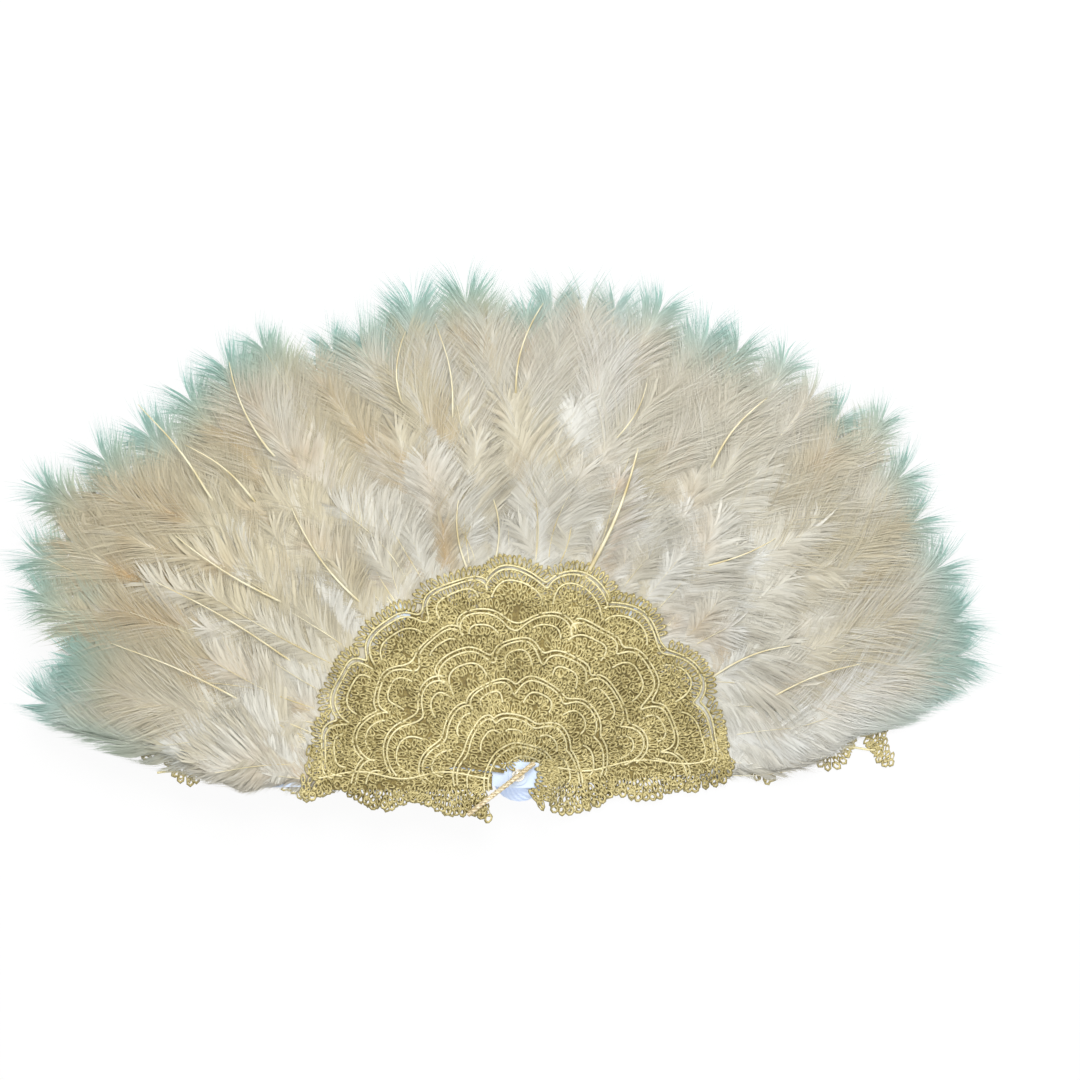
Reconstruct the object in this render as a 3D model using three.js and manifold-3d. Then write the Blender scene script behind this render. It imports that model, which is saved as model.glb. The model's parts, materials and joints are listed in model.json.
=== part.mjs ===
// Folding feather fan: flat plastic staves turn on one rivet. Each stave carries its own plume of
// feathers, a gore of corded lace on its front and a larger gore of lace on its back.
// Millimetres, +Z up. The fan lies open on its back, its middle stave along +Y and its front face up.
// The origin is on the rivet's axis, on the flat face of the rivet's rear head.

import * as THREE from "three";
import { mergeVertices } from "three/addons/utils/BufferGeometryUtils.js";
import Module from "manifold-3d";

const wasm = await Module();
wasm.setup();

// Fan
const STAVE_COUNT = 11;
const OPEN_ANGLE = 176; // degrees between the two guards

// Staves, which lie along +X before they are turned to their place
const STAVE_REACH = 150; // rivet to tip
const STAVE_THICKNESS = 0.8;
const STAVE_NECK = 8;
const STAVE_WIDTH = 12.5;
const NECK_AT = 24; // distance from the rivet to the narrowest place
const GUARD_WIDTH = 14;
const GUARD_THICKNESS = 1.2;
const HEAD_REACH = 15.5; // how far the rounded head runs past the rivet
const HEAD_WIDTH = 14;
const BOSS_RADIUS = 5.5;

// Rivet and washer
const RIVET_RADIUS = 1.5;
const RIVET_HEAD_RADIUS = 4.5;
const RIVET_HEAD_THICKNESS = 1.2;
const RIVET_DOME_RADIUS = 2.4;
const RIVET_DOME_HEIGHT = 1.2;
const WASHER_RADIUS = 3.5;
const WASHER_THICKNESS = 0.5;
const PIVOT_CLEARANCE = 0.15; // between the rivet and each bore

// Lace
const LACE_THICKNESS = 0.35;
const LACE_SETBACK = 4; // from the boss to the inner edge of the lace
const GORE_OVERLAP = 1.2; // degrees by which a gore runs past the half way line to its neighbour
const FRONT_REACH = 118;
const FRONT_SCALLOP_DEPTH = 9;
const FRONT_SCALLOP_PITCH = 20; // degrees
const BACK_REACH = 208;
const BACK_SCALLOP_DEPTH = 8;
const BACK_SCALLOP_PITCH = 11; // degrees
const SCALLOP_STEPS = 8; // outline points in one scallop
const SCALLOP_ROUNDNESS = 0.6; // below 1 is a fuller curve with a sharper valley
const HEM_DROP = 21; // how far the lace hangs past the centre line of a guard, next to the rivet
const HEM_TIP_DROP = 7; // the same at the outer end of the back lace
const HEM_EASE = 1.5; // above 1, the drop lessens sooner
const HEM_SCALLOP_DEPTH = 5;
const HEM_SCALLOP_PITCH = 27;
const HEM_GAP = 2; // from the rounded heads to the start of the hem
const EYELET_MARGIN = 10; // from the valleys of the rim to the outer row of eyelets
const EYELET_WIDTH = 0.3; // as a share of the gore's width at that row
const EYELET_LENGTH = 1.6; // times its width
const EYELET_STAGGER = 0.07; // shift from row to row, as a share of the gore's half width
const FRONT_EYELET_PITCH = 24; // from row to row
const BACK_EYELET_PITCH = 48;

// Feathers, each row over the one before
const QUILL_TUCK = 30; // length of quill under the lace
const QUILL_SPACING = 2.6;
const QUILL_WIDTH = 2;
const QUILL_TIP_WIDTH = 0.6;
const BINDING_LENGTH = 7; // thread wound round the quills of one plume
const VANE_SETBACK = 6; // from the lace edge to the first barbs
const VANE_THICKNESS = 0.25;
const VANE_GAP = 0.05; // between the vanes of two rows
const SHAFT_RIDGE = 0.1; // how far the shaft stands above its vane
const SHAFT_INSET = 0.06; // how far the shaft's underside is sunk into its vane
const VANE_LOCKS = 6; // locks of barbs on each side of a vane
const VANE_NOTCH = 0.2; // depth of the split between two locks, as a share of the half width
const VANE_WIDTH = 58;
const VANE_BOW = 9; // how far a shaft bends to one side
const VANE_VARIATION = 6; // how much longer or shorter one feather is than the next
const SPLAY_VARIATION = 1.5; // degrees
const GUARD_LEAN = 10; // degrees by which the feathers of a guard lean into the fan
const LONG_VANE = 152;
const MIDDLE_VANE = 142;
const SHORT_VANE = 100;
const FEATHERS = [
  { vane: LONG_VANE, splay: -4.5 },
  { vane: MIDDLE_VANE, splay: 4.5 },
  { vane: SHORT_VANE, splay: 0.5 },
];

// The plume is fullest towards the upper left, and trimmed shorter at the rear guard
const SWELL = 27;
const SWELL_ANGLE = 146; // degrees
const SWELL_SPREAD = 17; // degrees
const TRIM = 24;
const TRIM_SPREAD = 14; // degrees

// Braid tail, a cut end of gold cord that crosses the rivet
const TAIL_DIAMETER = 3;
const TAIL_SIDES = 8;
const TAIL_STEPS = 18;
const TAIL_HEADING = 216; // degrees
const TAIL_REACH = 35; // past the rivet, to the cut end
const TAIL_ROOT = 11; // from the rivet back to where it starts, on the head of the front guard

// Clearances between layers
const GLUE_LINE = 0.1;
const LAYER_GAP = 0.25;
const STACK_GAP = 0.2;
const SEAT_GAP = 0.3;

// Facets of round pieces
const BORE_SIDES = 12;
const ROUND_SIDES = 16;
const ARC_STEPS = 5;

// Levels inside one layer of the fan, from the back lace up
const rowStep = VANE_THICKNESS + VANE_GAP;
const plumeHeight = rowStep * (FEATHERS.length - 1) + VANE_THICKNESS + SHAFT_RIDGE;
const bindingHeight = VANE_THICKNESS + VANE_GAP * 2;
const lacedHeight = bindingHeight + GLUE_LINE + LACE_THICKNESS;
const dressingHeight = Math.max(plumeHeight, lacedHeight);
const stavePitch = OPEN_ANGLE / (STAVE_COUNT - 1);
const firstAngle = 90 - OPEN_ANGLE / 2;
const goreHalf = stavePitch / 2 + GORE_OVERLAP;
const laceInner = BOSS_RADIUS + LACE_SETBACK;
const quillRoot = FRONT_REACH - QUILL_TUCK;
const vaneStart = FRONT_REACH + VANE_SETBACK;
const boreRadius = (RIVET_RADIUS + PIVOT_CLEARANCE) / Math.cos(Math.PI / BORE_SIDES);

const isGuard = (index) => index === 0 || index === STAVE_COUNT - 1;
const staveThickness = (index) => (isGuard(index) ? GUARD_THICKNESS : STAVE_THICKNESS);
const radians = THREE.MathUtils.degToRad;

// The heights of one layer: each value is measured from the layer's own base.
function levelsOf(index) {
  const stave = LACE_THICKNESS + GLUE_LINE;
  const plume = stave + staveThickness(index) + GLUE_LINE;
  const frontLace = plume + bindingHeight + GLUE_LINE;
  const top = plume + dressingHeight;
  return { backLace: 0, stave, plume, frontLace, top };
}

function layerBase(index) {
  let base = RIVET_HEAD_THICKNESS + STACK_GAP;
  for (let below = 0; below < index; below += 1) {
    base += levelsOf(below).top + LAYER_GAP;
  }
  return base;
}

// Materials
const finish = (color, roughness, metalness = 0) =>
  new THREE.MeshStandardMaterial({ color, roughness, metalness });
const whitePlastic = finish(0xe9eef6, 0.35);
const champagneFeather = finish(0xd3cab4, 0.85);
const goldLace = finish(0xb3a067, 0.5, 0.3);
const goldBraid = finish(0xd6c79a, 0.45, 0.3);
const rivetSteel = finish(0xc9c6bd, 0.3, 0.9);

// Solids
function solidOf(geometry) {
  const bare = geometry.clone();
  bare.deleteAttribute("normal");
  bare.deleteAttribute("uv");
  const merged = mergeVertices(bare, 1e-4);
  const mesh = new wasm.Mesh({
    numProp: 3,
    vertProperties: merged.attributes.position.array,
    triVerts: new Uint32Array(merged.index.array),
  });
  return new wasm.Manifold(mesh);
}

function geometryOf(solid) {
  const mesh = solid.getMesh();
  const geometry = new THREE.BufferGeometry();
  geometry.setAttribute("position", new THREE.BufferAttribute(mesh.vertProperties, 3));
  geometry.setIndex(new THREE.BufferAttribute(mesh.triVerts, 1));
  geometry.computeVertexNormals();
  return geometry;
}

function plate(shape, bottom, thickness) {
  const settings = { depth: thickness, bevelEnabled: false, curveSegments: ARC_STEPS };
  return new THREE.ExtrudeGeometry(shape, settings).translate(0, 0, bottom);
}

function roundBar(radius, sides, bottom, height) {
  const bar = new THREE.CylinderGeometry(radius, radius, height, sides);
  return bar.rotateX(Math.PI / 2).translate(0, 0, bottom + height / 2);
}

function turned(profile, sides) {
  const points = profile.map(([radius, height]) => new THREE.Vector2(radius, height));
  return new THREE.LatheGeometry(points, sides).rotateX(Math.PI / 2);
}

function place(name, geometry, material, parent) {
  const mesh = new THREE.Mesh(geometry, material);
  mesh.name = name;
  parent.add(mesh);
}

// Stave: a rounded head behind the rivet, a waist, and a blade that widens to a round tip
function staveOutline(width) {
  const headRadius = HEAD_WIDTH / 2;
  const headCentre = headRadius - HEAD_REACH;
  const tipRadius = width / 2;
  const tipCentre = STAVE_REACH - tipRadius;
  const shape = new THREE.Shape();
  shape.moveTo(0, -headRadius);
  shape.quadraticCurveTo(NECK_AT / 2, -headRadius, NECK_AT, -STAVE_NECK / 2);
  shape.lineTo(tipCentre, -tipRadius);
  shape.absarc(tipCentre, 0, tipRadius, -Math.PI / 2, Math.PI / 2);
  shape.lineTo(NECK_AT, STAVE_NECK / 2);
  shape.quadraticCurveTo(NECK_AT / 2, headRadius, 0, headRadius);
  shape.lineTo(headCentre, headRadius);
  shape.absarc(headCentre, 0, headRadius, Math.PI / 2, Math.PI * 1.5);
  shape.closePath();
  return shape;
}

function staveGeometry(index) {
  const levels = levelsOf(index);
  const outline = staveOutline(isGuard(index) ? GUARD_WIDTH : STAVE_WIDTH);
  const blade = solidOf(plate(outline, levels.stave, staveThickness(index)));
  const boss = solidOf(roundBar(BOSS_RADIUS, ROUND_SIDES, levels.backLace, levels.top));
  const bore = solidOf(roundBar(boreRadius, BORE_SIDES, levels.backLace - 1, levels.top + 2));
  return geometryOf(blade.add(boss).subtract(bore));
}

// Lace gore: a sector with a scalloped rim. The gore of a guard also has a straight scalloped hem.
const scallop = (turns) => Math.abs(Math.cos(Math.PI * turns)) ** SCALLOP_ROUNDNESS;

const polar = (radius, degrees) =>
  new THREE.Vector2(radius * Math.cos(radians(degrees)), radius * Math.sin(radians(degrees)));

function rim(centre, from, to, reach, depth, pitch) {
  const step = pitch / SCALLOP_STEPS;
  const first = Math.ceil((centre + from - 90) / step + 0.3);
  const last = Math.floor((centre + to - 90) / step - 0.3);
  const angles = [centre + from];
  for (let n = first; n <= last; n += 1) angles.push(90 + n * step);
  angles.push(centre + to);
  return angles.map((angle) => {
    const radius = reach - depth + depth * scallop((angle - 90) / pitch);
    return polar(radius, angle - centre);
  });
}

const hemStart = HEAD_REACH + HEM_GAP;

function hemDrop(along) {
  const left = (BACK_REACH - along) / (BACK_REACH - hemStart);
  return THREE.MathUtils.lerp(HEM_TIP_DROP, HEM_DROP, left ** HEM_EASE);
}

function hem(reach) {
  const length = reach - hemStart;
  const steps = Math.max(2, Math.round((length / HEM_SCALLOP_PITCH) * SCALLOP_STEPS * 0.5));
  const points = [];
  for (let n = 0; n <= steps; n += 1) {
    const along = hemStart + (length * n) / steps;
    const valley = HEM_SCALLOP_DEPTH * (1 - scallop((along - hemStart) / HEM_SCALLOP_PITCH));
    points.push(new THREE.Vector2(along, valley - hemDrop(along)));
  }
  return points;
}

// Leaf-shaped eyelets in staggered pairs, one each side of the stave, narrower towards the rivet.
// A guard has a hem on its outer side, so its gore is pierced on its inner side alone.
function eyelets(index, outermost, rowPitch) {
  const sides = [-1, 1].filter((side) => !isGuard(index) || (side > 0) === (index === 0));
  const leaves = [];
  let stagger = EYELET_STAGGER;
  for (let radius = outermost; radius > laceInner + rowPitch; radius -= rowPitch) {
    const width = radius * Math.sin(radians(goreHalf)) * EYELET_WIDTH;
    const span = THREE.MathUtils.radToDeg(width / radius);
    const length = Math.min(width * EYELET_LENGTH, rowPitch / 2);
    for (const side of sides) {
      const centre = goreHalf * (side / 2 + stagger);
      const near = polar(radius - length / 2, centre);
      const far = polar(radius + length / 2, centre);
      const left = polar(radius, centre + span / 2);
      const right = polar(radius, centre - span / 2);
      leaves.push(new THREE.Path([near, left, far, right]));
    }
    stagger = -stagger;
  }
  return leaves;
}

function goreShape(index, reach, depth, pitch) {
  const centre = firstAngle + stavePitch * index;
  if (!isGuard(index)) {
    const outer = rim(centre, -goreHalf, goreHalf, reach, depth, pitch);
    return new THREE.Shape([...outer, polar(laceInner, goreHalf), polar(laceInner, -goreHalf)]);
  }
  const mirrored = index > 0;
  const hemReach = reach - depth;
  const side = THREE.MathUtils.radToDeg(Math.asin(hemDrop(hemReach) / hemReach));
  const flip = mirrored ? -1 : 1;
  const outer = mirrored
    ? rim(centre, -goreHalf, side * 0.6, reach, depth, pitch).reverse()
    : rim(centre, -side * 0.6, goreHalf, reach, depth, pitch);
  const inner = [polar(laceInner, goreHalf * flip), polar(laceInner, 0)];
  const edge = hem(hemReach).map((point) => new THREE.Vector2(point.x, point.y * flip));
  const points = [...edge, ...outer, ...inner];
  return new THREE.Shape(mirrored ? points.reverse() : points);
}

function frontLace(index) {
  const shape = goreShape(index, FRONT_REACH, FRONT_SCALLOP_DEPTH, FRONT_SCALLOP_PITCH);
  shape.holes = eyelets(index, FRONT_REACH - FRONT_SCALLOP_DEPTH - EYELET_MARGIN, FRONT_EYELET_PITCH);
  return plate(shape, levelsOf(index).frontLace, LACE_THICKNESS);
}

function backLace(index) {
  const shape = goreShape(index, BACK_REACH, BACK_SCALLOP_DEPTH, BACK_SCALLOP_PITCH);
  shape.holes = eyelets(index, BACK_REACH - BACK_SCALLOP_DEPTH - EYELET_MARGIN, BACK_EYELET_PITCH);
  return plate(shape, levelsOf(index).backLace, LACE_THICKNESS);
}

// Feather: a tapering shaft on a gentle bow, and a vane whose barbs part into locks
const wander = (index, row) => Math.sin(2.4 * index + 1.7 * row + 0.9);

const bell = (distance, spread) => Math.exp(-((distance / spread) ** 2));

function extraReach(angle) {
  return SWELL * bell(angle - SWELL_ANGLE, SWELL_SPREAD) - TRIM * bell(angle - firstAngle, TRIM_SPREAD);
}

function featherOf(index, row) {
  const { vane, splay } = FEATHERS[row];
  const lean = { 0: GUARD_LEAN, [STAVE_COUNT - 1]: -GUARD_LEAN }[index] ?? 0;
  const extra = extraReach(firstAngle + stavePitch * index + splay + lean);
  const reach = vaneStart + vane + extra + VANE_VARIATION * wander(index, row + 5);
  const middle = (FEATHERS.length - 1) / 2;
  const root = new THREE.Vector2(quillRoot, (row - middle) * QUILL_SPACING);
  const tip = polar(reach, splay + lean + SPLAY_VARIATION * wander(index, row));
  const control = root.clone().lerp(tip, 0.55);
  control.y += VANE_BOW * wander(index, row + 3);
  const curve = new THREE.QuadraticBezierCurve(root, control, tip);
  const shareAt = (radius) => (radius - quillRoot) / (reach - quillRoot);
  return { curve, shareAt };
}

function offsetPoint(curve, share, offset) {
  const point = curve.getPoint(share);
  const tangent = curve.getTangent(share);
  return new THREE.Vector2(point.x - tangent.y * offset, point.y + tangent.x * offset);
}

// A strip of four-sided sections along a curve, each with its own width, underside and top
function strip(curve, sections) {
  const corners = sections.flatMap(({ share, width, bottom, top }) => {
    const right = offsetPoint(curve, share, -width / 2);
    const left = offsetPoint(curve, share, width / 2);
    return [right.x, right.y, bottom, left.x, left.y, bottom, left.x, left.y, top, right.x, right.y, top];
  });
  const last = (sections.length - 1) * 4;
  const faces = [0, 2, 1, 0, 3, 2, last, last + 1, last + 2, last, last + 2, last + 3];
  for (let start = 0; start < last; start += 4) {
    for (let side = 0; side < 4; side += 1) {
      const near = start + side;
      const beside = start + ((side + 1) % 4);
      faces.push(near, beside, beside + 4, near, beside + 4, near + 4);
    }
  }
  const geometry = new THREE.BufferGeometry();
  geometry.setAttribute("position", new THREE.Float32BufferAttribute(corners, 3));
  geometry.setIndex(faces);
  return geometry;
}

function shaft({ curve, shareAt }, base, level) {
  const quillBottom = base + VANE_GAP;
  const quillTop = quillBottom + VANE_THICKNESS;
  const shaftBottom = level + SHAFT_INSET;
  const shaftTop = level + VANE_THICKNESS + SHAFT_RIDGE;
  const bend = shareAt(FRONT_REACH + VANE_SETBACK / 3);
  const start = shareAt(FRONT_REACH + (VANE_SETBACK * 2) / 3);
  const widthAt = (share) => THREE.MathUtils.lerp(QUILL_WIDTH, QUILL_TIP_WIDTH, share);
  const quill = [0, bend].map((share) => ({ share, bottom: quillBottom, top: quillTop }));
  const ridge = [start, (start + 1) / 2, 0.95].map((share) => ({
    share,
    bottom: shaftBottom,
    top: shaftTop,
  }));
  const sections = [...quill, ...ridge];
  return strip(curve, sections.map((section) => ({ ...section, width: widthAt(section.share) })));
}

function vane({ curve, shareAt }, level) {
  const from = shareAt(vaneStart);
  const fullness = (along) => Math.sin(Math.PI * along ** 0.7) ** 0.6;
  const pointAt = (along, offset) => offsetPoint(curve, THREE.MathUtils.lerp(from, 1, along), offset);
  const edge = (side) => {
    const points = [pointAt(0, side * QUILL_WIDTH)];
    for (let lock = 1; lock <= VANE_LOCKS; lock += 1) {
      const crest = (lock - 0.15) / VANE_LOCKS;
      const notch = lock / VANE_LOCKS;
      points.push(pointAt(crest, (side * VANE_WIDTH * fullness(crest)) / 2));
      if (lock < VANE_LOCKS) {
        points.push(pointAt(notch, (side * VANE_WIDTH * fullness(notch) * (1 - VANE_NOTCH)) / 2));
      }
    }
    return points;
  };
  return plate(new THREE.Shape([...edge(-1), pointAt(1, 0), ...edge(1).reverse()]), level, VANE_THICKNESS);
}

function plume(index) {
  const base = levelsOf(index).plume;
  const bindingWidth = QUILL_SPACING * (FEATHERS.length - 1) + QUILL_WIDTH * 2;
  const binding = new THREE.BoxGeometry(BINDING_LENGTH, bindingWidth, bindingHeight);
  binding.translate(quillRoot + BINDING_LENGTH * 0.6, 0, base + bindingHeight / 2);
  let whole = solidOf(binding);
  FEATHERS.forEach((_, row) => {
    const feather = featherOf(index, row);
    const level = base + row * rowStep;
    whole = whole.add(solidOf(vane(feather, level))).add(solidOf(shaft(feather, base, level)));
  });
  return geometryOf(whole);
}

// Rivet: a flat rear head, a shank through every stave and a domed front end over a washer
const stackTop = layerBase(STAVE_COUNT - 1) + levelsOf(STAVE_COUNT - 1).top;
const washerBase = stackTop + STACK_GAP;
const domeBase = washerBase + WASHER_THICKNESS + STACK_GAP;
const domeTop = domeBase + RIVET_DOME_HEIGHT;

function rivet() {
  const dome = [];
  for (let n = 0; n <= ARC_STEPS; n += 1) {
    const turn = ((Math.PI / 2) * n) / ARC_STEPS;
    const radius = n === ARC_STEPS ? 0 : RIVET_DOME_RADIUS * Math.cos(turn);
    dome.push([radius, domeBase + RIVET_DOME_HEIGHT * Math.sin(turn)]);
  }
  const rear = [
    [0, 0],
    [RIVET_HEAD_RADIUS, 0],
    [RIVET_HEAD_RADIUS, RIVET_HEAD_THICKNESS],
    [RIVET_RADIUS, RIVET_HEAD_THICKNESS],
    [RIVET_RADIUS, domeBase],
  ];
  return turned([...rear, ...dome], ROUND_SIDES);
}

function washer() {
  const top = washerBase + WASHER_THICKNESS;
  const ring = [
    [boreRadius, washerBase],
    [WASHER_RADIUS, washerBase],
    [WASHER_RADIUS, top],
    [boreRadius, top],
    [boreRadius, washerBase],
  ];
  return turned(ring, ROUND_SIDES);
}

// Braid tail: starts on the head of the front guard, bridges the rivet's dome and comes down past it
function braidTail() {
  const frontLayer = layerBase(STAVE_COUNT - 1);
  const levels = levelsOf(STAVE_COUNT - 1);
  const lift = TAIL_DIAMETER / 2 + SEAT_GAP;
  const overHead = frontLayer + levels.stave + GUARD_THICKNESS + lift;
  const overLace = frontLayer + levels.frontLace + LACE_THICKNESS + lift;
  const overDome = domeTop + lift;
  const stations = [
    [-TAIL_ROOT, overHead],
    [-WASHER_RADIUS, overDome],
    [0, overDome],
    [WASHER_RADIUS, overDome],
    [TAIL_REACH / 2, overLace],
    [TAIL_REACH, overLace],
  ];
  const points = stations.map(([along, height]) => {
    const flat = polar(along, TAIL_HEADING);
    return new THREE.Vector3(flat.x, flat.y, height);
  });
  const section = new THREE.Shape();
  for (let side = 0; side < TAIL_SIDES; side += 1) {
    const corner = polar(TAIL_DIAMETER / 2, (360 * side) / TAIL_SIDES);
    if (side === 0) section.moveTo(corner.x, corner.y);
    else section.lineTo(corner.x, corner.y);
  }
  section.closePath();
  const extrudePath = new THREE.CatmullRomCurve3(points);
  return new THREE.ExtrudeGeometry(section, { extrudePath, steps: TAIL_STEPS, curveSegments: 1 });
}

// Assembly: one turned group for each stave and what it carries
const fan = new THREE.Group();
for (let index = 0; index < STAVE_COUNT; index += 1) {
  const number = String(index + 1).padStart(2, "0");
  const layer = new THREE.Group();
  layer.position.z = layerBase(index);
  layer.rotation.z = radians(firstAngle + stavePitch * index);
  const staveNames = { 0: "rear_guard", [STAVE_COUNT - 1]: "front_guard" };
  place(staveNames[index] ?? `stave_${number}`, staveGeometry(index), whitePlastic, layer);
  place(`back_lace_${number}`, backLace(index), goldLace, layer);
  place(`front_lace_${number}`, frontLace(index), goldLace, layer);
  place(`plume_${number}`, plume(index), champagneFeather, layer);
  fan.add(layer);
}
place("pivot_rivet", rivet(), rivetSteel, fan);
place("rivet_washer", washer(), rivetSteel, fan);
place("braid_tail", braidTail(), goldBraid, fan);

export default fan;
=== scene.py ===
# %% [markdown]
# # A folding feather fan
# Eleven flat plastic staves turn on one rivet. Each stave carries soft champagne feathers,
# a gore of gold corded lace in front of their quills, and a larger gore of lace behind.
# The solids are already made and packed, so this lesson dresses them: it keeps the staves and
# the rivet, and grows real barbs, threads and cords where the solids only hold the space.

# %% Load the solids
import json
import math
from collections import namedtuple

import bpy
import numpy as np
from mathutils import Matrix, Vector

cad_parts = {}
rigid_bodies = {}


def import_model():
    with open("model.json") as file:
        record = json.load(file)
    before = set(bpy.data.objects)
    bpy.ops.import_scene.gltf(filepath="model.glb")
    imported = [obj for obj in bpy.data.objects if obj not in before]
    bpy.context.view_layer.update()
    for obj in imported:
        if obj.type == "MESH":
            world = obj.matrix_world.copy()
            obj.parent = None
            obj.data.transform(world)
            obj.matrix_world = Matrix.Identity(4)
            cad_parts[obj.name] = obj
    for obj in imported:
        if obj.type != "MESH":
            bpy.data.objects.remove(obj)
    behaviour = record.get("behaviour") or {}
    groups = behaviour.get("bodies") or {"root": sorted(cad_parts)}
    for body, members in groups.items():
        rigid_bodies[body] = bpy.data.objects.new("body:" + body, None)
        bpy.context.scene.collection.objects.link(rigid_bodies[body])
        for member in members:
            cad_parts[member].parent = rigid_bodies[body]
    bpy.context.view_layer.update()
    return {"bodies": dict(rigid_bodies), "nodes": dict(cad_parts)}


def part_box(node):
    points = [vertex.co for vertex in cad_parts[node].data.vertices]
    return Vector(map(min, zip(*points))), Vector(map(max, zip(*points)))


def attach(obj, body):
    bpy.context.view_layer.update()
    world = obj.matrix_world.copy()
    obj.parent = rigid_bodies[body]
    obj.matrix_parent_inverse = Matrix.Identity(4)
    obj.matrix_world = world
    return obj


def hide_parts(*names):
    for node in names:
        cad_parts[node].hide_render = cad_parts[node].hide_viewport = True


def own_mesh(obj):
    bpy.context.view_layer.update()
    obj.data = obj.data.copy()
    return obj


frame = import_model()
print("bodies:", len(frame["bodies"]), "nodes:", len(frame["nodes"]))

# %% [markdown]
# ## Where things are
# The rivet's axis is the Z axis and the middle stave points along +Y. The staves are counted
# from the right, where the rear guard lies lowest, to the left, where the front guard is on top.
# Each layer's height is read from its own solids, so the dressing follows them.

# %% Angles and levels of the staves
MM = 0.001
STAVE_COUNT = 11
OPEN_ANGLE = 176.0
FIRST_ANGLE = 90 - OPEN_ANGLE / 2
STAVE_PITCH = OPEN_ANGLE / (STAVE_COUNT - 1)
NUMBERS = [f"{index + 1:02d}" for index in range(STAVE_COUNT)]
BODIES = ["rear_guard"] + [f"stave_{number}" for number in NUMBERS[1:-1]] + ["front_guard"]
ANGLES = [FIRST_ANGLE + STAVE_PITCH * index for index in range(STAVE_COUNT)]


def level(node, top=False):
    """Height in metres of a solid's underside, or of its top."""
    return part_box(node)[1 if top else 0].z


LAYER_STEP = level("plume_03") - level("plume_02")


def bearing(points):
    """The angle of flat points round the rivet, in degrees from -90 to 270."""
    angle = np.degrees(np.arctan2(points[:, 1], points[:, 0]))
    return np.where(angle < -90, angle + 360, angle)


def beside(radius, angle, aside):
    """Flat points this far out on the line of an angle in radians, and this far to its left."""
    return np.stack([radius * np.cos(angle) - aside * np.sin(angle),
                     radius * np.sin(angle) + aside * np.cos(angle)], axis=1)


def slope(index, points):
    """How far a soft layer lies above its stave's level: half a layer at most, up or down."""
    low = 0 if index == 0 else -STAVE_PITCH / 2
    high = 0 if index == STAVE_COUNT - 1 else STAVE_PITCH / 2
    return np.clip(bearing(points) - ANGLES[index], low, high) / STAVE_PITCH * LAYER_STEP / MM


print("stave angles:", [round(angle, 1) for angle in ANGLES])
print("layer step (mm):", round(LAYER_STEP / MM, 2))

# %% [markdown]
# ## Room to fold
# On an open fan the feathers puff up and the lace drapes over the staves. As the fan folds, each
# stave's soft pieces are pressed into the room between its own back lace and the stave above.
# A cloth simulation could do that for one pose. Here only the room for each kind of piece on every stave
# is worked out.

# %% Fold spaces
FOLD_GAP = 0.1 * MM
FOLD_TOP = 1.5 * MM


def fold_spaces(index):
    """The lowest and highest point of each kind of soft piece on a folded stave, in metres."""
    base, lace = (level(f"back_lace_{NUMBERS[index]}", top) for top in (False, True))
    front, above = (level(f"front_lace_{NUMBERS[index]}", top) for top in (False, True))
    above += FOLD_TOP
    if index < STAVE_COUNT - 1:
        above = level(f"back_lace_{NUMBERS[index + 1]}")
    ceiling = above - FOLD_GAP
    return {"back": (base, lace), "feathers": (lace, ceiling), "front": (front, ceiling)}


FOLD_SPACES = [fold_spaces(index) for index in range(STAVE_COUNT)]


def flatten(piece, kind, index):
    """Works out how far a soft piece would be pressed into its stave's room as the fan folds; it presses
    nothing, and only gives a piece that is too tall for the room a mesh of its own.
    """
    low, high = FOLD_SPACES[index][kind]
    heights = [corner[2] for corner in piece.bound_box]
    keep = (high - low) / (max(heights) - min(heights))
    if keep < 1:
        anchor = (low - keep * min(heights)) / (1 - keep)
        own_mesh(piece)


low, high = FOLD_SPACES[STAVE_COUNT // 2]["feathers"]
print("room for feathers (mm):", round((high - low) / MM, 2))

# %% [markdown]
# ## The camera
# The fan lies flat and is seen from straight above. The picture is square and 597 mm wide at
# the fan, and the fan is turned two degrees in it. The fan could be turned, but its frame is shared
# with the solids, so the camera is turned the other way.

# %% Camera
VIEW_WIDTH = 0.5966
CAMERA_HEIGHT = 1.9
FAN_HEIGHT = 0.016
VIEW_CENTRE = (0.0164, 0.1285)
CAMERA_TURN = math.radians(-2)
SENSOR_WIDTH = 36
FAR_CLIP = 20

camera_data = bpy.data.cameras.new("camera")
camera_data.sensor_width = SENSOR_WIDTH
camera_data.lens = SENSOR_WIDTH * (CAMERA_HEIGHT - FAN_HEIGHT) / VIEW_WIDTH
camera_data.clip_end = FAR_CLIP
camera = bpy.data.objects.new("camera", camera_data)
camera.location = (*VIEW_CENTRE, CAMERA_HEIGHT)
camera.rotation_euler = (0, 0, CAMERA_TURN)
bpy.context.collection.objects.link(camera)
bpy.context.scene.camera = camera
print("lens (mm):", round(camera_data.lens, 1))

# %% [markdown]
# ## Writing node trees as expressions
# A shader or a geometry tree is a long list of small sums. `Wire` wraps one output socket, so
# that `1 - mask * 0.4` adds the Math nodes by itself, and `Graph.node` makes any other node
# from its type, its settings and what goes into its sockets.


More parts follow.
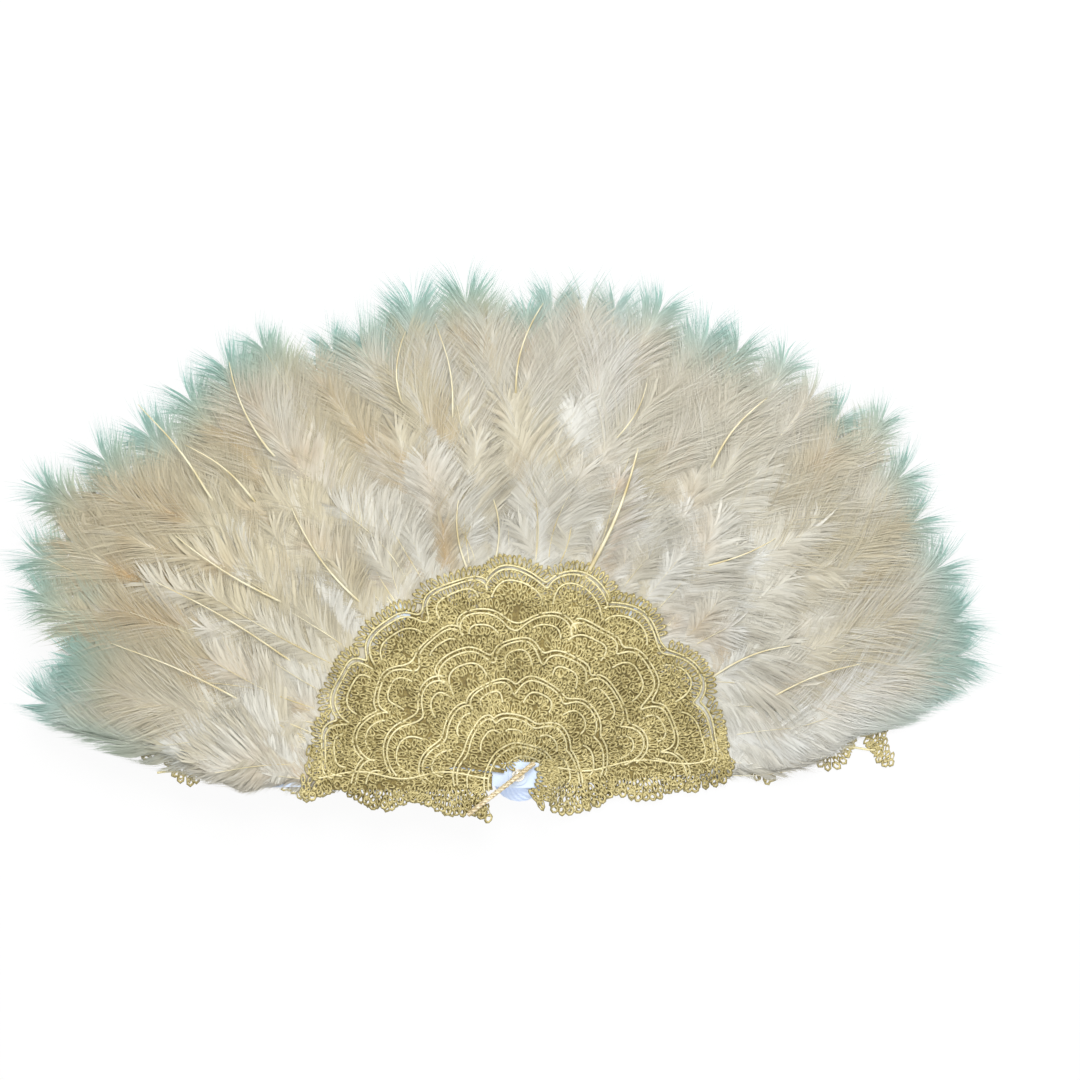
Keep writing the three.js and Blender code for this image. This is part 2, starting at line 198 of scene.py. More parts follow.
# %% Wires and graphs
class Wire:
    """One output socket in a node tree, with the arithmetic that Math nodes can do."""

    def __init__(self, graph, socket):
        self.graph = graph
        self.socket = socket

    def math(self, operation, first, second):
        settings = {"operation": operation}
        return self.graph.node("ShaderNodeMath", settings, {0: first, 1: second})

    def __add__(self, other):
        return self.math("ADD", self, other)

    def __radd__(self, other):
        return self.math("ADD", other, self)

    def __sub__(self, other):
        return self.math("SUBTRACT", self, other)

    def __rsub__(self, other):
        return self.math("SUBTRACT", other, self)

    def __mul__(self, other):
        return self.math("MULTIPLY", self, other)

    def __rmul__(self, other):
        return self.math("MULTIPLY", other, self)

    def __pow__(self, other):
        return self.math("POWER", self, other)

    def __getitem__(self, name):
        """Another output of the same node."""
        return Wire(self.graph, self.socket.node.outputs[name])


class Graph:
    """A node tree that is written from Python."""

    def __init__(self, tree):
        self.tree = tree

    def node(self, kind, settings=None, inputs=None):
        node = self.tree.nodes.new(kind)
        for name, value in (settings or {}).items():
            setattr(node, name, value)
        for key, value in (inputs or {}).items():
            self.feed(node, key, value)
        shown = [socket for socket in node.outputs if socket.enabled]
        return Wire(self, shown[0] if shown else None)

    def feed(self, node, key, value):
        if isinstance(key, str):
            socket = next(s for s in node.inputs if s.name == key and s.enabled)
        else:
            socket = node.inputs[key]
        for part in value if isinstance(value, list) else [value]:
            if isinstance(part, Wire):
                self.tree.links.new(part.socket, socket)
            else:
                socket.default_value = part


def linear(red, green, blue):
    """A colour as it looks on the screen, 0 to 255, as the linear values that shaders use."""
    values = [value / 255 for value in (red, green, blue)]
    return tuple(v / 12.92 if v <= 0.04045 else ((v + 0.055) / 1.055) ** 2.4 for v in values) + (1.0,)


print("helpers ready")

# %% [markdown]
# ## Finishes
# Feather barbs are matt and slightly silky: cream, with tan patches close to some shafts, under painted
# light and shade: paler on lit locks and greyer in the shaded gaps between them, with painted cool
# light from the backdrop in the thin outer fringe. A picture texture could paint that, but the barbs
# have no picture, so each is grown with its own values for tone, light and shade, place along the barb
# and nearness to the fringe, and the finish reads those.


# %% Feather barbs and shafts
def new_material(name, **constants):
    material = bpy.data.materials.new(name)
    material.use_nodes = True
    graph = Graph(material.node_tree)
    shader = material.node_tree.nodes["Principled BSDF"]
    for socket, value in constants.items():
        shader.inputs[socket.replace("_", " ")].default_value = value
    return material, graph, shader


def attribute(graph, name):
    return graph.node("ShaderNodeAttribute", {"attribute_name": name})["Fac"]


def noise(graph, scale, detail=2.0, roughness=0.5):
    place = graph.node("ShaderNodeTexCoord")["Object"]
    inputs = {"Vector": place, "Scale": scale, "Detail": detail, "Roughness": roughness}
    return graph.node("ShaderNodeTexNoise", {"noise_dimensions": "3D"}, inputs)


def blend(graph, factor, first, second):
    """Mixes two colours by a value."""
    inputs = {"Factor": factor, 6: first, 7: second}
    return graph.node("ShaderNodeMix", {"data_type": "RGBA", "clamp_factor": True}, inputs)


def ease(graph, value, low, high):
    """0 below low, 1 above high, smooth between."""
    settings = {"interpolation_type": "SMOOTHSTEP", "clamp": True}
    return graph.node("ShaderNodeMapRange", settings, {"Value": value, "From Min": low, "From Max": high})


PALE = linear(221, 221, 215)
CREAM = linear(207, 204, 191)
WARM = linear(197, 188, 160)
TAN = linear(176, 146, 98)
SHADE = linear(150, 143, 127)
BACKDROP_LIGHT = linear(137, 181, 174)
IVORY = linear(236, 229, 198)
HORN = linear(204, 188, 138)
STAIN_SCALE = 20.0
STAIN_RANGE = (0.4, 0.64)
STAIN_FADE = 1.4
LOCK_RANGE = (0.5, 0.85)
LOCK_HIGHLIGHT = 0.5
GAP_SHADE = 0.6
FRINGE_LIGHT_SHARE = 0.95
HORN_SCALE = 60.0
HORN_RANGE = (0.35, 0.7)


def barb_finish():
    material, graph, shader = new_material("champagne_barb", Roughness=0.7, Sheen_Weight=0.15)
    reach = attribute(graph, "reach")
    shade = attribute(graph, "shade")
    tone = attribute(graph, "tone")
    colour = blend(graph, ease(graph, tone, 0.0, 0.5), PALE, CREAM)
    colour = blend(graph, ease(graph, tone, 0.5, 1.0), colour, WARM)
    stain = ease(graph, noise(graph, STAIN_SCALE, 3.0), *STAIN_RANGE) * attribute(graph, "core")
    colour = blend(graph, stain * (1 - reach) ** STAIN_FADE, colour, TAN)
    # Painted light on the lit locks and painted shade in the gaps between them.
    colour = blend(graph, ease(graph, shade, *LOCK_RANGE) * LOCK_HIGHLIGHT, colour, PALE)
    colour = blend(graph, ease(graph, 1 - shade, *LOCK_RANGE) * GAP_SHADE, colour, SHADE)
    # Painted cool light from the backdrop, seen through the thin fringe.
    colour = blend(graph, attribute(graph, "fringe") * FRINGE_LIGHT_SHARE, colour, BACKDROP_LIGHT)
    graph.feed(shader, "Base Color", colour)
    return material


def shaft_finish():
    material, graph, shader = new_material("ivory_shaft", Roughness=0.36)
    stain = ease(graph, noise(graph, HORN_SCALE), *HORN_RANGE)
    graph.feed(shader, "Base Color", blend(graph, stain, IVORY, HORN))
    return material


champagne_barb = barb_finish()
ivory_shaft = shaft_finish()
print("feather finishes:", champagne_barb.name, ivory_shaft.name)

# %% [markdown]
# ## Growing feathers with Geometry Nodes
# A feather is a shaft with hundreds of barbs on both sides. Hair curves could make them, but a
# plain mesh is wanted at the end, so each barb is a thin tapering ribbon. The tree below takes
# shafts as polylines, spreads ribbons along both sides, turns each by its sweep angle, and then
# lets a soft noise move their tips, so that neighbours drift together into locks.


# %% Helpers for geometry trees
def new_tree(name, inputs):
    tree = bpy.data.node_groups.new(name, "GeometryNodeTree")
    tree.interface.new_socket(name="Geometry", in_out="OUTPUT", socket_type="NodeSocketGeometry")
    tree.interface.new_socket(name="Geometry", in_out="INPUT", socket_type="NodeSocketGeometry")
    for label, kind, value in inputs:
        made = tree.interface.new_socket(name=label, in_out="INPUT", socket_type=f"NodeSocket{kind}")
        if value is not None:
            made.default_value = value
    graph = Graph(tree)
    source = tree.nodes.new("NodeGroupInput")
    given = {socket.name: Wire(graph, socket) for socket in source.outputs if socket.name}
    return tree, graph, given


def close_tree(tree, graph, geometry, material):
    """Every tree ends in plain smooth geometry with its finish."""
    real = graph.node("GeometryNodeRealizeInstances", None, {"Geometry": geometry})
    smooth = graph.node("GeometryNodeSetShadeSmooth", None, {"Geometry": real})
    done = graph.node("GeometryNodeSetMaterial", None, {"Geometry": smooth, "Material": material})
    graph.feed(tree.nodes.new("NodeGroupOutput"), "Geometry", done)
    return tree


def named(graph, name, kind="FLOAT"):
    return graph.node("GeometryNodeInputNamedAttribute", {"data_type": kind}, {"Name": name})


def store(graph, geometry, name, value):
    inputs = {"Geometry": geometry, "Name": name, "Value": value}
    return graph.node("GeometryNodeStoreNamedAttribute", {"data_type": "FLOAT"}, inputs)


def random_value(graph, low, high, seed):
    inputs = {"Min": low, "Max": high, "Seed": seed}
    return graph.node("FunctionNodeRandomValue", {"data_type": "FLOAT"}, inputs)


def vector(graph, x, y, z):
    return graph.node("ShaderNodeCombineXYZ", None, {"X": x, "Y": y, "Z": z})


def parts(graph, value):
    """The X, Y and Z of a vector, by name."""
    return graph.node("ShaderNodeSeparateXYZ", None, {0: value})


def position(graph):
    return graph.node("GeometryNodeInputPosition")


print("tree helpers ready")


# %% One barb
BARB_STEPS = 4
BARB_ROOT = 1.03
BARB_TAPER = 3
BARB_ARCH = 0.12
FLUTTER_EASE = 1.3
FLUTTER_WAYS = (1.0, 1.0, 0.3)
MID_NOISE = (0.5, 0.5, 0.5)


def barb_ribbon(graph, side, width, curl):
    """One barb along +X, of length 1, that curls towards the tip of its feather."""
    inputs = {"Size X": 1.0, "Size Y": 1.0, "Vertices X": BARB_STEPS, "Vertices Y": 2}
    grid = graph.node("GeometryNodeMeshGrid", None, inputs)
    flat = parts(graph, position(graph))
    marked = store(graph, grid, "reach", flat["X"] + 0.5)
    along = named(graph, "reach")
    across = flat["Y"] * (BARB_ROOT - along ** BARB_TAPER) * width - (along ** 2) * curl * side
    place = vector(graph, along, across, along * (1 - along) * BARB_ARCH)
    shaped = graph.node("GeometryNodeSetPosition", None, {"Geometry": marked, "Position": place})
    return graph.node("GeometryNodeGeometryToInstance", None, {"Geometry": shaped})


def flutter(graph, geometry, scale, amount):
    """Moves each point by a smooth noise, more towards the free end of its barb."""
    inputs = {"Vector": position(graph), "Scale": scale, "Detail": 1.0}
    wave = graph.node("ShaderNodeTexNoise", None, inputs)["Color"]
    centred = graph.node("ShaderNodeVectorMath", {"operation": "SUBTRACT"}, {0: wave, 1: MID_NOISE})
    flat = graph.node("ShaderNodeVectorMath", {"operation": "MULTIPLY"}, {0: centred, 1: FLUTTER_WAYS})
    inputs = {"Vector": flat, "Scale": named(graph, "reach") ** FLUTTER_EASE * amount}
    offset = graph.node("ShaderNodeVectorMath", {"operation": "SCALE"}, inputs)
    return graph.node("GeometryNodeSetPosition", None, {"Geometry": geometry, "Offset": offset})


print("points along a barb:", BARB_STEPS)

# %% [markdown]
# ## The lower edge
# Feathers that are bound side by side splay below the outer staves, yet the fan's lower edge is
# nearly straight and turns up towards its ends. Shears could cut it, but cut barbs look blunt. So
# barbs that hang below the edge are drawn up to it, unevenly, which leaves soft tufts. The same
# edge tells where the thin outer barbs take on painted cool light from the backdrop behind them.

# %% Lower edge and fringe
EDGE_TURN = 150
EDGE_MARGIN = -5.5
EDGE_GIVE = 0.28
EDGE_RAGGED = 20
EDGE_NOISE = 45.0
LOWEST = 0.5
LOW_FRINGE = 14
LOW_STRETCH = (170 * MM, 240 * MM)
LOW_LIGHT_SHARE = 0.45


def highest(graph, first, second):
    return graph.node("ShaderNodeMath", {"operation": "MAXIMUM"}, {0: first, 1: second})


def outward(graph, place):
    return graph.node("ShaderNodeMath", {"operation": "ABSOLUTE"}, {0: place["X"]})


def lower_edge(graph, place, given):
    """The height of the fan's lower edge: along the guards first, and steeper from there."""
    away = outward(graph, place)
    beyond = highest(graph, away - EDGE_TURN * MM, 0.0)
    return away * given["Edge slope"] + beyond * given["Edge rise"] + EDGE_MARGIN * MM


def keep_inside(graph, geometry, given):
    """Keeps barbs above their layer, which climbs from stave to stave, and inside the lower edge."""
    place = parts(graph, position(graph))
    turn = graph.node("ShaderNodeMath", {"operation": "ARCTAN2"}, {0: place["Y"], 1: place["X"]})
    layer = given["Floor"] + (turn - given["Axis"]) * given["Climb"]
    lifted = highest(graph, place["Z"], highest(graph, layer, LOWEST * MM))
    tufts = graph.node("ShaderNodeTexNoise", None, {"Vector": position(graph), "Scale": EDGE_NOISE})
    edge = lower_edge(graph, place, given) + (tufts - 0.5) * (EDGE_RAGGED * MM)
    above = place["Y"] - edge
    clear = highest(graph, above, above * EDGE_GIVE)
    inputs = {"Geometry": geometry, "Position": vector(graph, place["X"], edge + clear, lifted)}
    return graph.node("GeometryNodeSetPosition", None, inputs)


def mark_fringe(graph, geometry, given):
    """0 inside the fan and 1 at its rim, and at the outer stretch of its lower edge."""
    place = parts(graph, position(graph))
    radius = (place["X"] ** 2 + place["Y"] ** 2) ** 0.5
    depth = given["Fringe depth"]
    rim = ease(graph, radius - named(graph, "rim") + depth, 0.0, depth)
    hang = lower_edge(graph, place, given) - place["Y"]
    below = ease(graph, hang, -LOW_FRINGE * MM, 0.0) * ease(graph, outward(graph, place), *LOW_STRETCH)
    # The fringe value places the painted backdrop light: at the rim and along the outer lower edge.
    return store(graph, geometry, "fringe", highest(graph, rim, below * LOW_LIGHT_SHARE))


print("the lower edge turns up at (mm):", EDGE_TURN)


# %% The barb tree
SIDE_SHIFT = 40
LOCK_DRIFT = 0.8
LOCK_SHADE = 0.6
FOLD_SHADE = 0.4
STRAY_SHADE = 0.2
SHORTEST_BARB = 1 * MM
SLOW_FLUTTER = 38.0
QUICK_FLUTTER = 130.0
QUICK_SHARE = 0.4


def barb_tree():
    tree, graph, given = new_tree("grow_barbs", [
        ("Barbs", "Int", 120), ("Barb width", "Float", 0.02), ("Barb length", "Float", 1.0),
        ("Curl", "Float", 0.3), ("Lock swing", "Float", 0.4), ("Unevenness", "Float", 0.2),
        ("Flutter", "Float", 0.01), ("Lift", "Float", 0.1), ("Roll", "Float", 0.2), ("Tilt", "Float", 0.4),
        ("Fringe depth", "Float", 0.03), ("Floor", "Float", 0.0), ("Axis", "Float", 0.0),
        ("Climb", "Float", 0.0), ("Edge slope", "Float", 0.0), ("Edge rise", "Float", 0.0),
        ("Seed", "Int", 1), ("Finish", "Material", None)])
    shafts = graph.node("GeometryNodeMeshToCurve", None, {"Mesh": given["Geometry"]})
    inputs = {"Curve": shafts, "Count": given["Barbs"]}
    points = graph.node("GeometryNodeCurveToPoints", {"mode": "COUNT"}, inputs)
    inputs = {"Geometry": points, "Amount": 2}
    pairs = graph.node("GeometryNodeDuplicateElements", {"domain": "POINT"}, inputs)
    side = pairs["Duplicate Index"] * 2 - 1

    ahead = {"Primary Axis": points["Tangent"], "Secondary Axis": (0.0, 0.0, 1.0)}
    facing = graph.node("FunctionNodeAxesToRotation", {"primary_axis": "X", "secondary_axis": "Z"}, ahead)
    inputs = {"W": named(graph, "strand") + side * SIDE_SHIFT, "Scale": 1.0, "Detail": 1.0}
    lock = graph.node("ShaderNodeTexNoise", {"noise_dimensions": "1D"}, inputs)
    drift = named(graph, "strand") + lock * LOCK_DRIFT
    part = graph.node("ShaderNodeMath", {"operation": "FRACT"}, {0: drift})
    spread = 1 + random_value(graph, -1.0, 1.0, given["Seed"]) * named(graph, "fan")
    angle = named(graph, "sweep") * spread + (part - 0.5) * given["Lock swing"]
    roll = random_value(graph, -1.0, 1.0, given["Seed"] + 1) * given["Roll"] - side * given["Tilt"]
    lift = random_value(graph, 0.0, 1.0, given["Seed"] + 2) * given["Lift"] * -1
    euler = vector(graph, roll, lift, side * angle)
    turn = graph.node("FunctionNodeEulerToRotation", None, {"Euler": euler})
    inputs = {"Rotation": facing, "Rotate By": turn}
    turned = graph.node("FunctionNodeRotateRotation", {"rotation_space": "LOCAL"}, inputs)

    short = random_value(graph, 0.0, 1.0, given["Seed"] + 3) * given["Unevenness"]
    size = named(graph, "vane") * given["Barb length"] * (1 - short)
    grows = graph.node("ShaderNodeMath", {"operation": "GREATER_THAN"}, {0: size, 1: SHORTEST_BARB})
    # Painted light and shade for each barb: by its lock, by where it lies in that lock, and a little at
    # random.
    fold = graph.node("ShaderNodeMath", {"operation": "ABSOLUTE"}, {0: part - 0.5})
    stray = random_value(graph, 0.0, STRAY_SHADE, given["Seed"] + 4)
    shaded = store(graph, pairs, "shade", lock * LOCK_SHADE + fold * FOLD_SHADE + stray)
    ribbons = [barb_ribbon(graph, s, given["Barb width"], given["Curl"]) for s in (-1, 1)]
    pair = graph.node("GeometryNodeJoinGeometry", None, {"Geometry": ribbons})
    barbs = graph.node("GeometryNodeInstanceOnPoints", None, {
        "Points": shaded, "Selection": grows, "Instance": pair, "Pick Instance": True,
        "Instance Index": pairs["Duplicate Index"], "Rotation": turned, "Scale": size})
    plain = graph.node("GeometryNodeRealizeInstances", None, {"Geometry": barbs})
    waved = flutter(graph, plain, SLOW_FLUTTER, given["Flutter"])
    waved = flutter(graph, waved, QUICK_FLUTTER, given["Flutter"] * QUICK_SHARE)
    held = keep_inside(graph, waved, given)
    fringed = mark_fringe(graph, held, given)
    return close_tree(tree, graph, fringed, given["Finish"])


grow_barbs = barb_tree()
print("barb tree nodes:", len(grow_barbs.nodes))

# %% [markdown]
# ## Round strands
# Shafts, lace cords and the strands of the braid are all round sections swept along a line.
# Each could have a tree of its own, but one serves them all: it reads each line's own thickness
# from an attribute.


# %% The strand tree
def strand_tree():
    tree, graph, given = new_tree("sweep_strands", [("Sides", "Int", 6), ("Finish", "Material", None)])
    lines = graph.node("GeometryNodeMeshToCurve", None, {"Mesh": given["Geometry"]})
    inputs = {"Resolution": given["Sides"], "Radius": 1.0}
    ring = graph.node("GeometryNodeCurvePrimitiveCircle", None, inputs)
    rods = graph.node("GeometryNodeCurveToMesh", None, {
        "Curve": lines, "Profile Curve": ring, "Scale": named(graph, "thick"), "Fill Caps": True})
    return close_tree(tree, graph, rods, given["Finish"])


sweep_strands = strand_tree()
print("strand tree nodes:", len(sweep_strands.nodes))


# %% Seed meshes and growing
TILE_SHAPE = 4
TILE_MARGIN = 0.1
TILE_SHARE = 0.8


def polylines(name, lines):
    """A mesh of open chains of edges, with one value per point for each named attribute."""
    mesh = bpy.data.meshes.new(name)
    points = np.concatenate([line for line, _ in lines])
    edges, first = [], 0
    for line, _ in lines:
        edges += [(first + n, first + n + 1) for n in range(len(line) - 1)]
        first += len(line)
    mesh.from_pydata(points.tolist(), edges, [])
    for key in lines[0][1]:
        values = np.concatenate([values[key] for _, values in lines])
        made = mesh.attributes.new(key, "FLOAT", "POINT")
        made.data.foreach_set("value", values.astype(np.float32))
    return mesh


def grown(name, seed_mesh, tree, settings):
    """Runs a tree on a seed mesh and keeps the result as a plain mesh."""
    piece = bpy.data.objects.new(name, seed_mesh)
    bpy.context.collection.objects.link(piece)
    modifier = piece.modifiers.new("grow", "NODES")
    modifier.node_group = tree
    for item in tree.interface.items_tree:
        if item.in_out == "INPUT" and item.name in settings:
            modifier[item.identifier] = settings[item.name]
    seen = bpy.context.evaluated_depsgraph_get()
    mesh = bpy.data.meshes.new_from_object(
        piece.evaluated_get(seen), preserve_all_data_layers=True, depsgraph=seen)
    piece.modifiers.remove(modifier)
    piece.data = mesh
    mesh.name = name
    bpy.data.meshes.remove(seed_mesh)
    return piece


def triangles(piece):
    return sum(len(face.vertices) - 2 for face in piece.data.polygons)


def tile_map(piece, across, along):
    """Lays every repeated strip or ring on its own tile of a map, so that a bake keeps its colours."""
    mesh = piece.data
    size = across * along
    tiles = len(mesh.vertices) // size
    columns = max(1, math.ceil(math.sqrt(tiles / TILE_SHAPE)))
    rows = math.ceil(tiles / columns)
    corner = np.empty(len(mesh.loops), dtype=np.int32)
    mesh.loops.foreach_get("vertex_index", corner)
    tile, place = corner // size, corner % size
    u = (tile % columns + TILE_MARGIN + TILE_SHARE * (place // across) / (along - 1)) / columns
    v = (tile // columns + TILE_MARGIN + TILE_SHARE * (place % across) / (across - 1)) / rows
    layer = mesh.uv_layers.new(name="OFBake", do_init=False)
    layer.uv.foreach_set("vector", np.stack([u, v], axis=1).astype(np.float32).ravel())


print("growing helpers ready")

# %% [markdown]
# ## Planning the plumes
# The feathers lie in six rows like roof tiles: the longest at the back, the shortest on top,
# close to the lace. Each stave has its own share of every row, so that the plume turns with it.
# The fan is fullest to the upper left and a little shorter at its right end, and the feathers of
# the two guards lean inwards, so that they follow the fan's lower edge.

# %% Feather rows
LACE_EDGE = 118
RIM_RADIUS = 280
ROWS = [
    {"tip": 279, "count": 3, "start": 165, "barb": 49, "tone": 0.60},
    {"tip": 260, "count": 3, "start": 152, "barb": 49, "tone": 0.55},
    {"tip": 240, "count": 3, "start": 140, "barb": 48, "tone": 0.55},
    {"tip": 214, "count": 3, "start": 128, "barb": 46, "tone": 0.50},
    {"tip": 188, "count": 4, "start": 117, "barb": 40, "tone": 0.40},
    {"tip": 158, "count": 5, "start": 94, "barb": 32, "tone": 0.30},
]
DOWNY_ROWS = 3
WARM_RIGHT = 0.2
WARM_LEFT = 0.5
# Paler at both ends; at the right end this is painted light, where the lamps leave the feathers in shade.
PALE_AND_LIT_ENDS = [(6, 10, 0.5), (173, 8, 0.4)]
DARK_PATCH = (151, 9)
LEAN_BAND = (165, 265)
GUARD_LEANS = {0: (0.5, 11), STAVE_COUNT - 1: (-1.5, -10)}


def bell(angle, middle, spread):
    return math.exp(-(((angle - middle) / spread) ** 2))


SWELLS = [(147, 9, 44), (130, 13, 14), (164, 7, -16), (40, 12, 9), (7, 13, -26)]
LUMPS = [(36, 4, 9), (50, 4, 12), (64, 4, -9), (80, 4, 9), (101, 4, 8), (114, 3, 6), (124, 4, 9),
         (140, 3, -8), (152, 4, 8), (160, 4, -7), (170, 4, 7)]


def swell(angle):
    """How much further the feathers reach at this angle than in the middle, in millimetres."""
    return sum(reach * bell(angle, middle, spread) for middle, spread, reach in SWELLS + LUMPS)


def warmth(angle):
    """How much warmer the feathers are at this angle than in the middle, less at the pale ends: at the
    right end that is painted light.
    """
    side = math.cos(math.radians(angle))
    pale = sum(depth * bell(angle, middle, spread) for middle, spread, depth in PALE_AND_LIT_ENDS)
    return max(WARM_RIGHT * side, -WARM_LEFT * side) - pale


def stained(angle, row_number):
    """1 where the darkest feathers were bound in, in the outer rows at the left, and 0 elsewhere."""
    return bell(angle, *DARK_PATCH) if row_number < DOWNY_ROWS else 0


def smooth(low, high, value):
    share = np.clip((value - low) / (high - low), 0, 1)
    return share * share * (3 - 2 * share)


def guard_lean(index, tip):
    """How far a guard's feathers lean into the fan: the longer they are, the more."""
    least, more = GUARD_LEANS.get(index, (0, 0))
    return least + more * smooth(*LEAN_BAND, tip)


print("feathers in a stave:", sum(row["count"] for row in ROWS))

# %% [markdown]
# ## One feather
# A feather has a thin shaft that bows a little, long barbs along its upper stretch, and a looser
# brush at its tip. A curve drawn by hand would do for one, but the fan has hundreds, so a formula
# plans each from its place in its row, and a seeded generator lets no two be alike.

# %% Planning a feather
ROOT_RADIUS = 90
ROOT_TURN = 0.6
TURN_EASE = 0.8
TILE_SHIFTS = (0.3, 0.7)
GUARD_SPREAD = 0.5
LOBE_DEPTH = 4
TIP_BRUSH = 22
BRUSH_LENGTH = 45
BRUSH_OPENING = 0.5
ROW_RISE = 1.3
TILE_RISE = 0.9
BED_DEPTH = 0.6
LOOSE_BAND = (LACE_EDGE - 4, LACE_EDGE + 30)
ANGLE_STRAY = 1.2
REACH_STRAY = 7
BOW_STRAY = 6
RISE_STRAY = 0.4
START_STRAY = 3
TONE_STRAY = 0.2
LENGTH_RANGE = (0.88, 1.12)
STRAND_RANGE = 500
DARK_TONE = 0.5
SHAFT_POINTS = 14
SHOWN_SHAFTS = 0.25
SHAFT_THICK = (0.3, 0.5)
SHAFT_LIFT = (0.2, 1.8)
SHAFT_TAPER = 0.75
ROOT_FULLNESS = 0.6
FULL_FROM = 0.35
TIP_LOSS = 0.45
TIP_EASE = 2.5
SWEEP = 38
SWEEP_LOSS = 23
FAN = 0.15
TIP_FAN = 1.2
LOCKS = 7


def bed(index):
    """The height at which a stave's feathers are bound in, in millimetres."""
    return level(f"front_lace_{NUMBERS[index]}") / MM - BED_DEPTH


def plan_feather(rng, index, row_number, place):
    """One feather in metres: its shaft, the stretch that carries barbs, and the brush at its tip."""
    row = ROWS[row_number]
    lean = guard_lean(index, row["tip"])
    spread = GUARD_SPREAD if lean else 1.0
    aside = (place + TILE_SHIFTS[row_number % 2]) / row["count"] - 0.5
    offset = aside * STAVE_PITCH * spread + rng.normal(0, ANGLE_STRAY)
    tip_angle = ANGLES[index] + lean + offset
    further = swell(tip_angle) - LOBE_DEPTH * (2 * aside) ** 2 + rng.normal(0, REACH_STRAY)
    tip = row["tip"] + further * row["tip"] / RIM_RADIUS
    end = tip - TIP_BRUSH
    root_angle = ANGLES[index] + (lean + offset) * ROOT_TURN
    bow = rng.normal(0, BOW_STRAY)
    rise = row_number * ROW_RISE + place % 2 * TILE_RISE + rng.uniform(0, RISE_STRAY)
    start = max(row["start"] + rng.normal(0, START_STRAY), ROOT_RADIUS)
    shown = rng.random() < SHOWN_SHAFTS

    def stretch(first):
        """Points from this radius to the shaft's end, with their share of the way and looseness."""
        radius = np.linspace(first, end, SHAFT_POINTS)
        share = (radius - ROOT_RADIUS) / (end - ROOT_RADIUS)
        angle = np.radians(root_angle + (tip_angle - root_angle) * share ** TURN_EASE)
        loose = smooth(*LOOSE_BAND, radius)
        flat = beside(radius, angle, bow * np.sin(np.pi * share))
        return np.column_stack([flat, bed(index) + slope(index, flat) + rise * loose]) * MM, share, loose

    shaft, share, loose = stretch(ROOT_RADIUS)
    shaft_values = {"thick": SHAFT_THICK[shown] * (1 - SHAFT_TAPER * share) * MM}
    shaft = shaft + np.outer(SHAFT_LIFT[shown] * loose * MM, (0, 0, 1))
    length = row["barb"] * rng.uniform(*LENGTH_RANGE)
    strand = rng.uniform(0, STRAND_RANGE)
    dark = stained(tip_angle, row_number)
    tone = row["tone"] + rng.normal(0, TONE_STRAY) + warmth(tip_angle) + DARK_TONE * dark
    core = max(rng.random() ** 2, dark)
    rim = tip if row_number == 0 else RIM_RADIUS + swell(tip_angle)

    def vane(first, opening):
        """The stretch of shaft from this radius, with what its barbs need to know."""
        inside = np.linspace((first - start) / (end - start), 1, SHAFT_POINTS)
        full = ROOT_FULLNESS + (1 - ROOT_FULLNESS) * smooth(0, FULL_FROM, inside)
        whole = np.ones(SHAFT_POINTS)
        return stretch(first)[0], {
            "vane": length * full * (1 - TIP_LOSS * inside ** TIP_EASE) * MM,
            "sweep": np.radians(SWEEP - SWEEP_LOSS * inside ** 2) * opening,
            "fan": FAN + TIP_FAN * inside ** 4, "strand": inside * LOCKS + strand,
            "tone": whole * tone, "core": whole * core, "rim": whole * rim * MM}

    return (shaft, shaft_values), vane(start, 1), vane(end - BRUSH_LENGTH, BRUSH_OPENING)


print("points along a shaft:", SHAFT_POINTS)

# %% [markdown]
# ## Shafts that lie bare
# Some shafts lie on top of the down, bare of barbs for most of their length. They could be left to
# chance, but these are what the eye follows, so each is given one by one: the angle and radius where
# it comes into view and where it ends, and its thickness at the root.

# %% Bare shafts
BARE_SHAFTS = [
    (69.3, 112, 68.0, 198, 1.3), (101.7, 112, 99.3, 162, 0.7), (94.6, 116, 93.7, 158, 0.6),
    (130.3, 122, 127.9, 198, 0.75), (132.1, 205, 133.4, 259, 0.7), (125.4, 216, 122.9, 279, 0.7),
    (136.4, 222, 133.8, 292, 0.75), (105.4, 212, 102.1, 253, 0.6), (98.7, 196, 98.5, 253, 0.6),
    (88.4, 206, 84.9, 261, 0.7), (72.1, 190, 69.9, 231, 0.5), (55.6, 196, 54.4, 250, 0.8),
    (47.0, 150, 40.2, 196, 0.6), (24.0, 118, 22.5, 172, 0.7), (152.0, 130, 150.0, 232, 0.6),
    (141.0, 150, 143.0, 236, 0.7), (163.5, 150, 160.0, 240, 0.6), (14.0, 140, 15.5, 205, 0.6),
]
BARE_HEIGHT = 8.8
BARE_BEND = 4.0
BARE_TUCK = 0.14
BARE_TAPER = 0.65
BARE_BAND = (LACE_EDGE - 6, LACE_EDGE + 28)


def plan_bare_shafts(index):
    lines = []
    for number, (near_angle, near, far_angle, far, thick) in enumerate(BARE_SHAFTS):
        owner = max(round((angle - FIRST_ANGLE) / STAVE_PITCH) for angle in (near_angle, far_angle))
        if owner != index:
            continue
        share = np.linspace(0, 1, SHAFT_POINTS)
        radius = near + (far - near) * share
        angle = np.radians(near_angle + (far_angle - near_angle) * share)
        bend = BARE_BEND * (1 if number % 2 else -1) * np.sin(np.pi * share)
        bare = smooth(0, BARE_TUCK, share) * smooth(0, BARE_TUCK, 1 - share)
        height = bed(index) + BARE_HEIGHT * bare * smooth(*BARE_BAND, radius)
        flat = beside(radius, angle, bend)
        points = np.column_stack([flat, height + slope(index, flat)]) * MM
        lines.append((points, {"thick": thick * (1 - BARE_TAPER * share) * MM}))
    return lines


print("bare shafts:", len(BARE_SHAFTS))

# %% [markdown]
# ## The plumes
# A plume is bound from all the feathers of one stave. Fine barbs alone would let the floor shine
# through, so each feather also gets a few broad vanes under them, and the outer rows get down at
# their tips. All three come from the same tree with other settings.

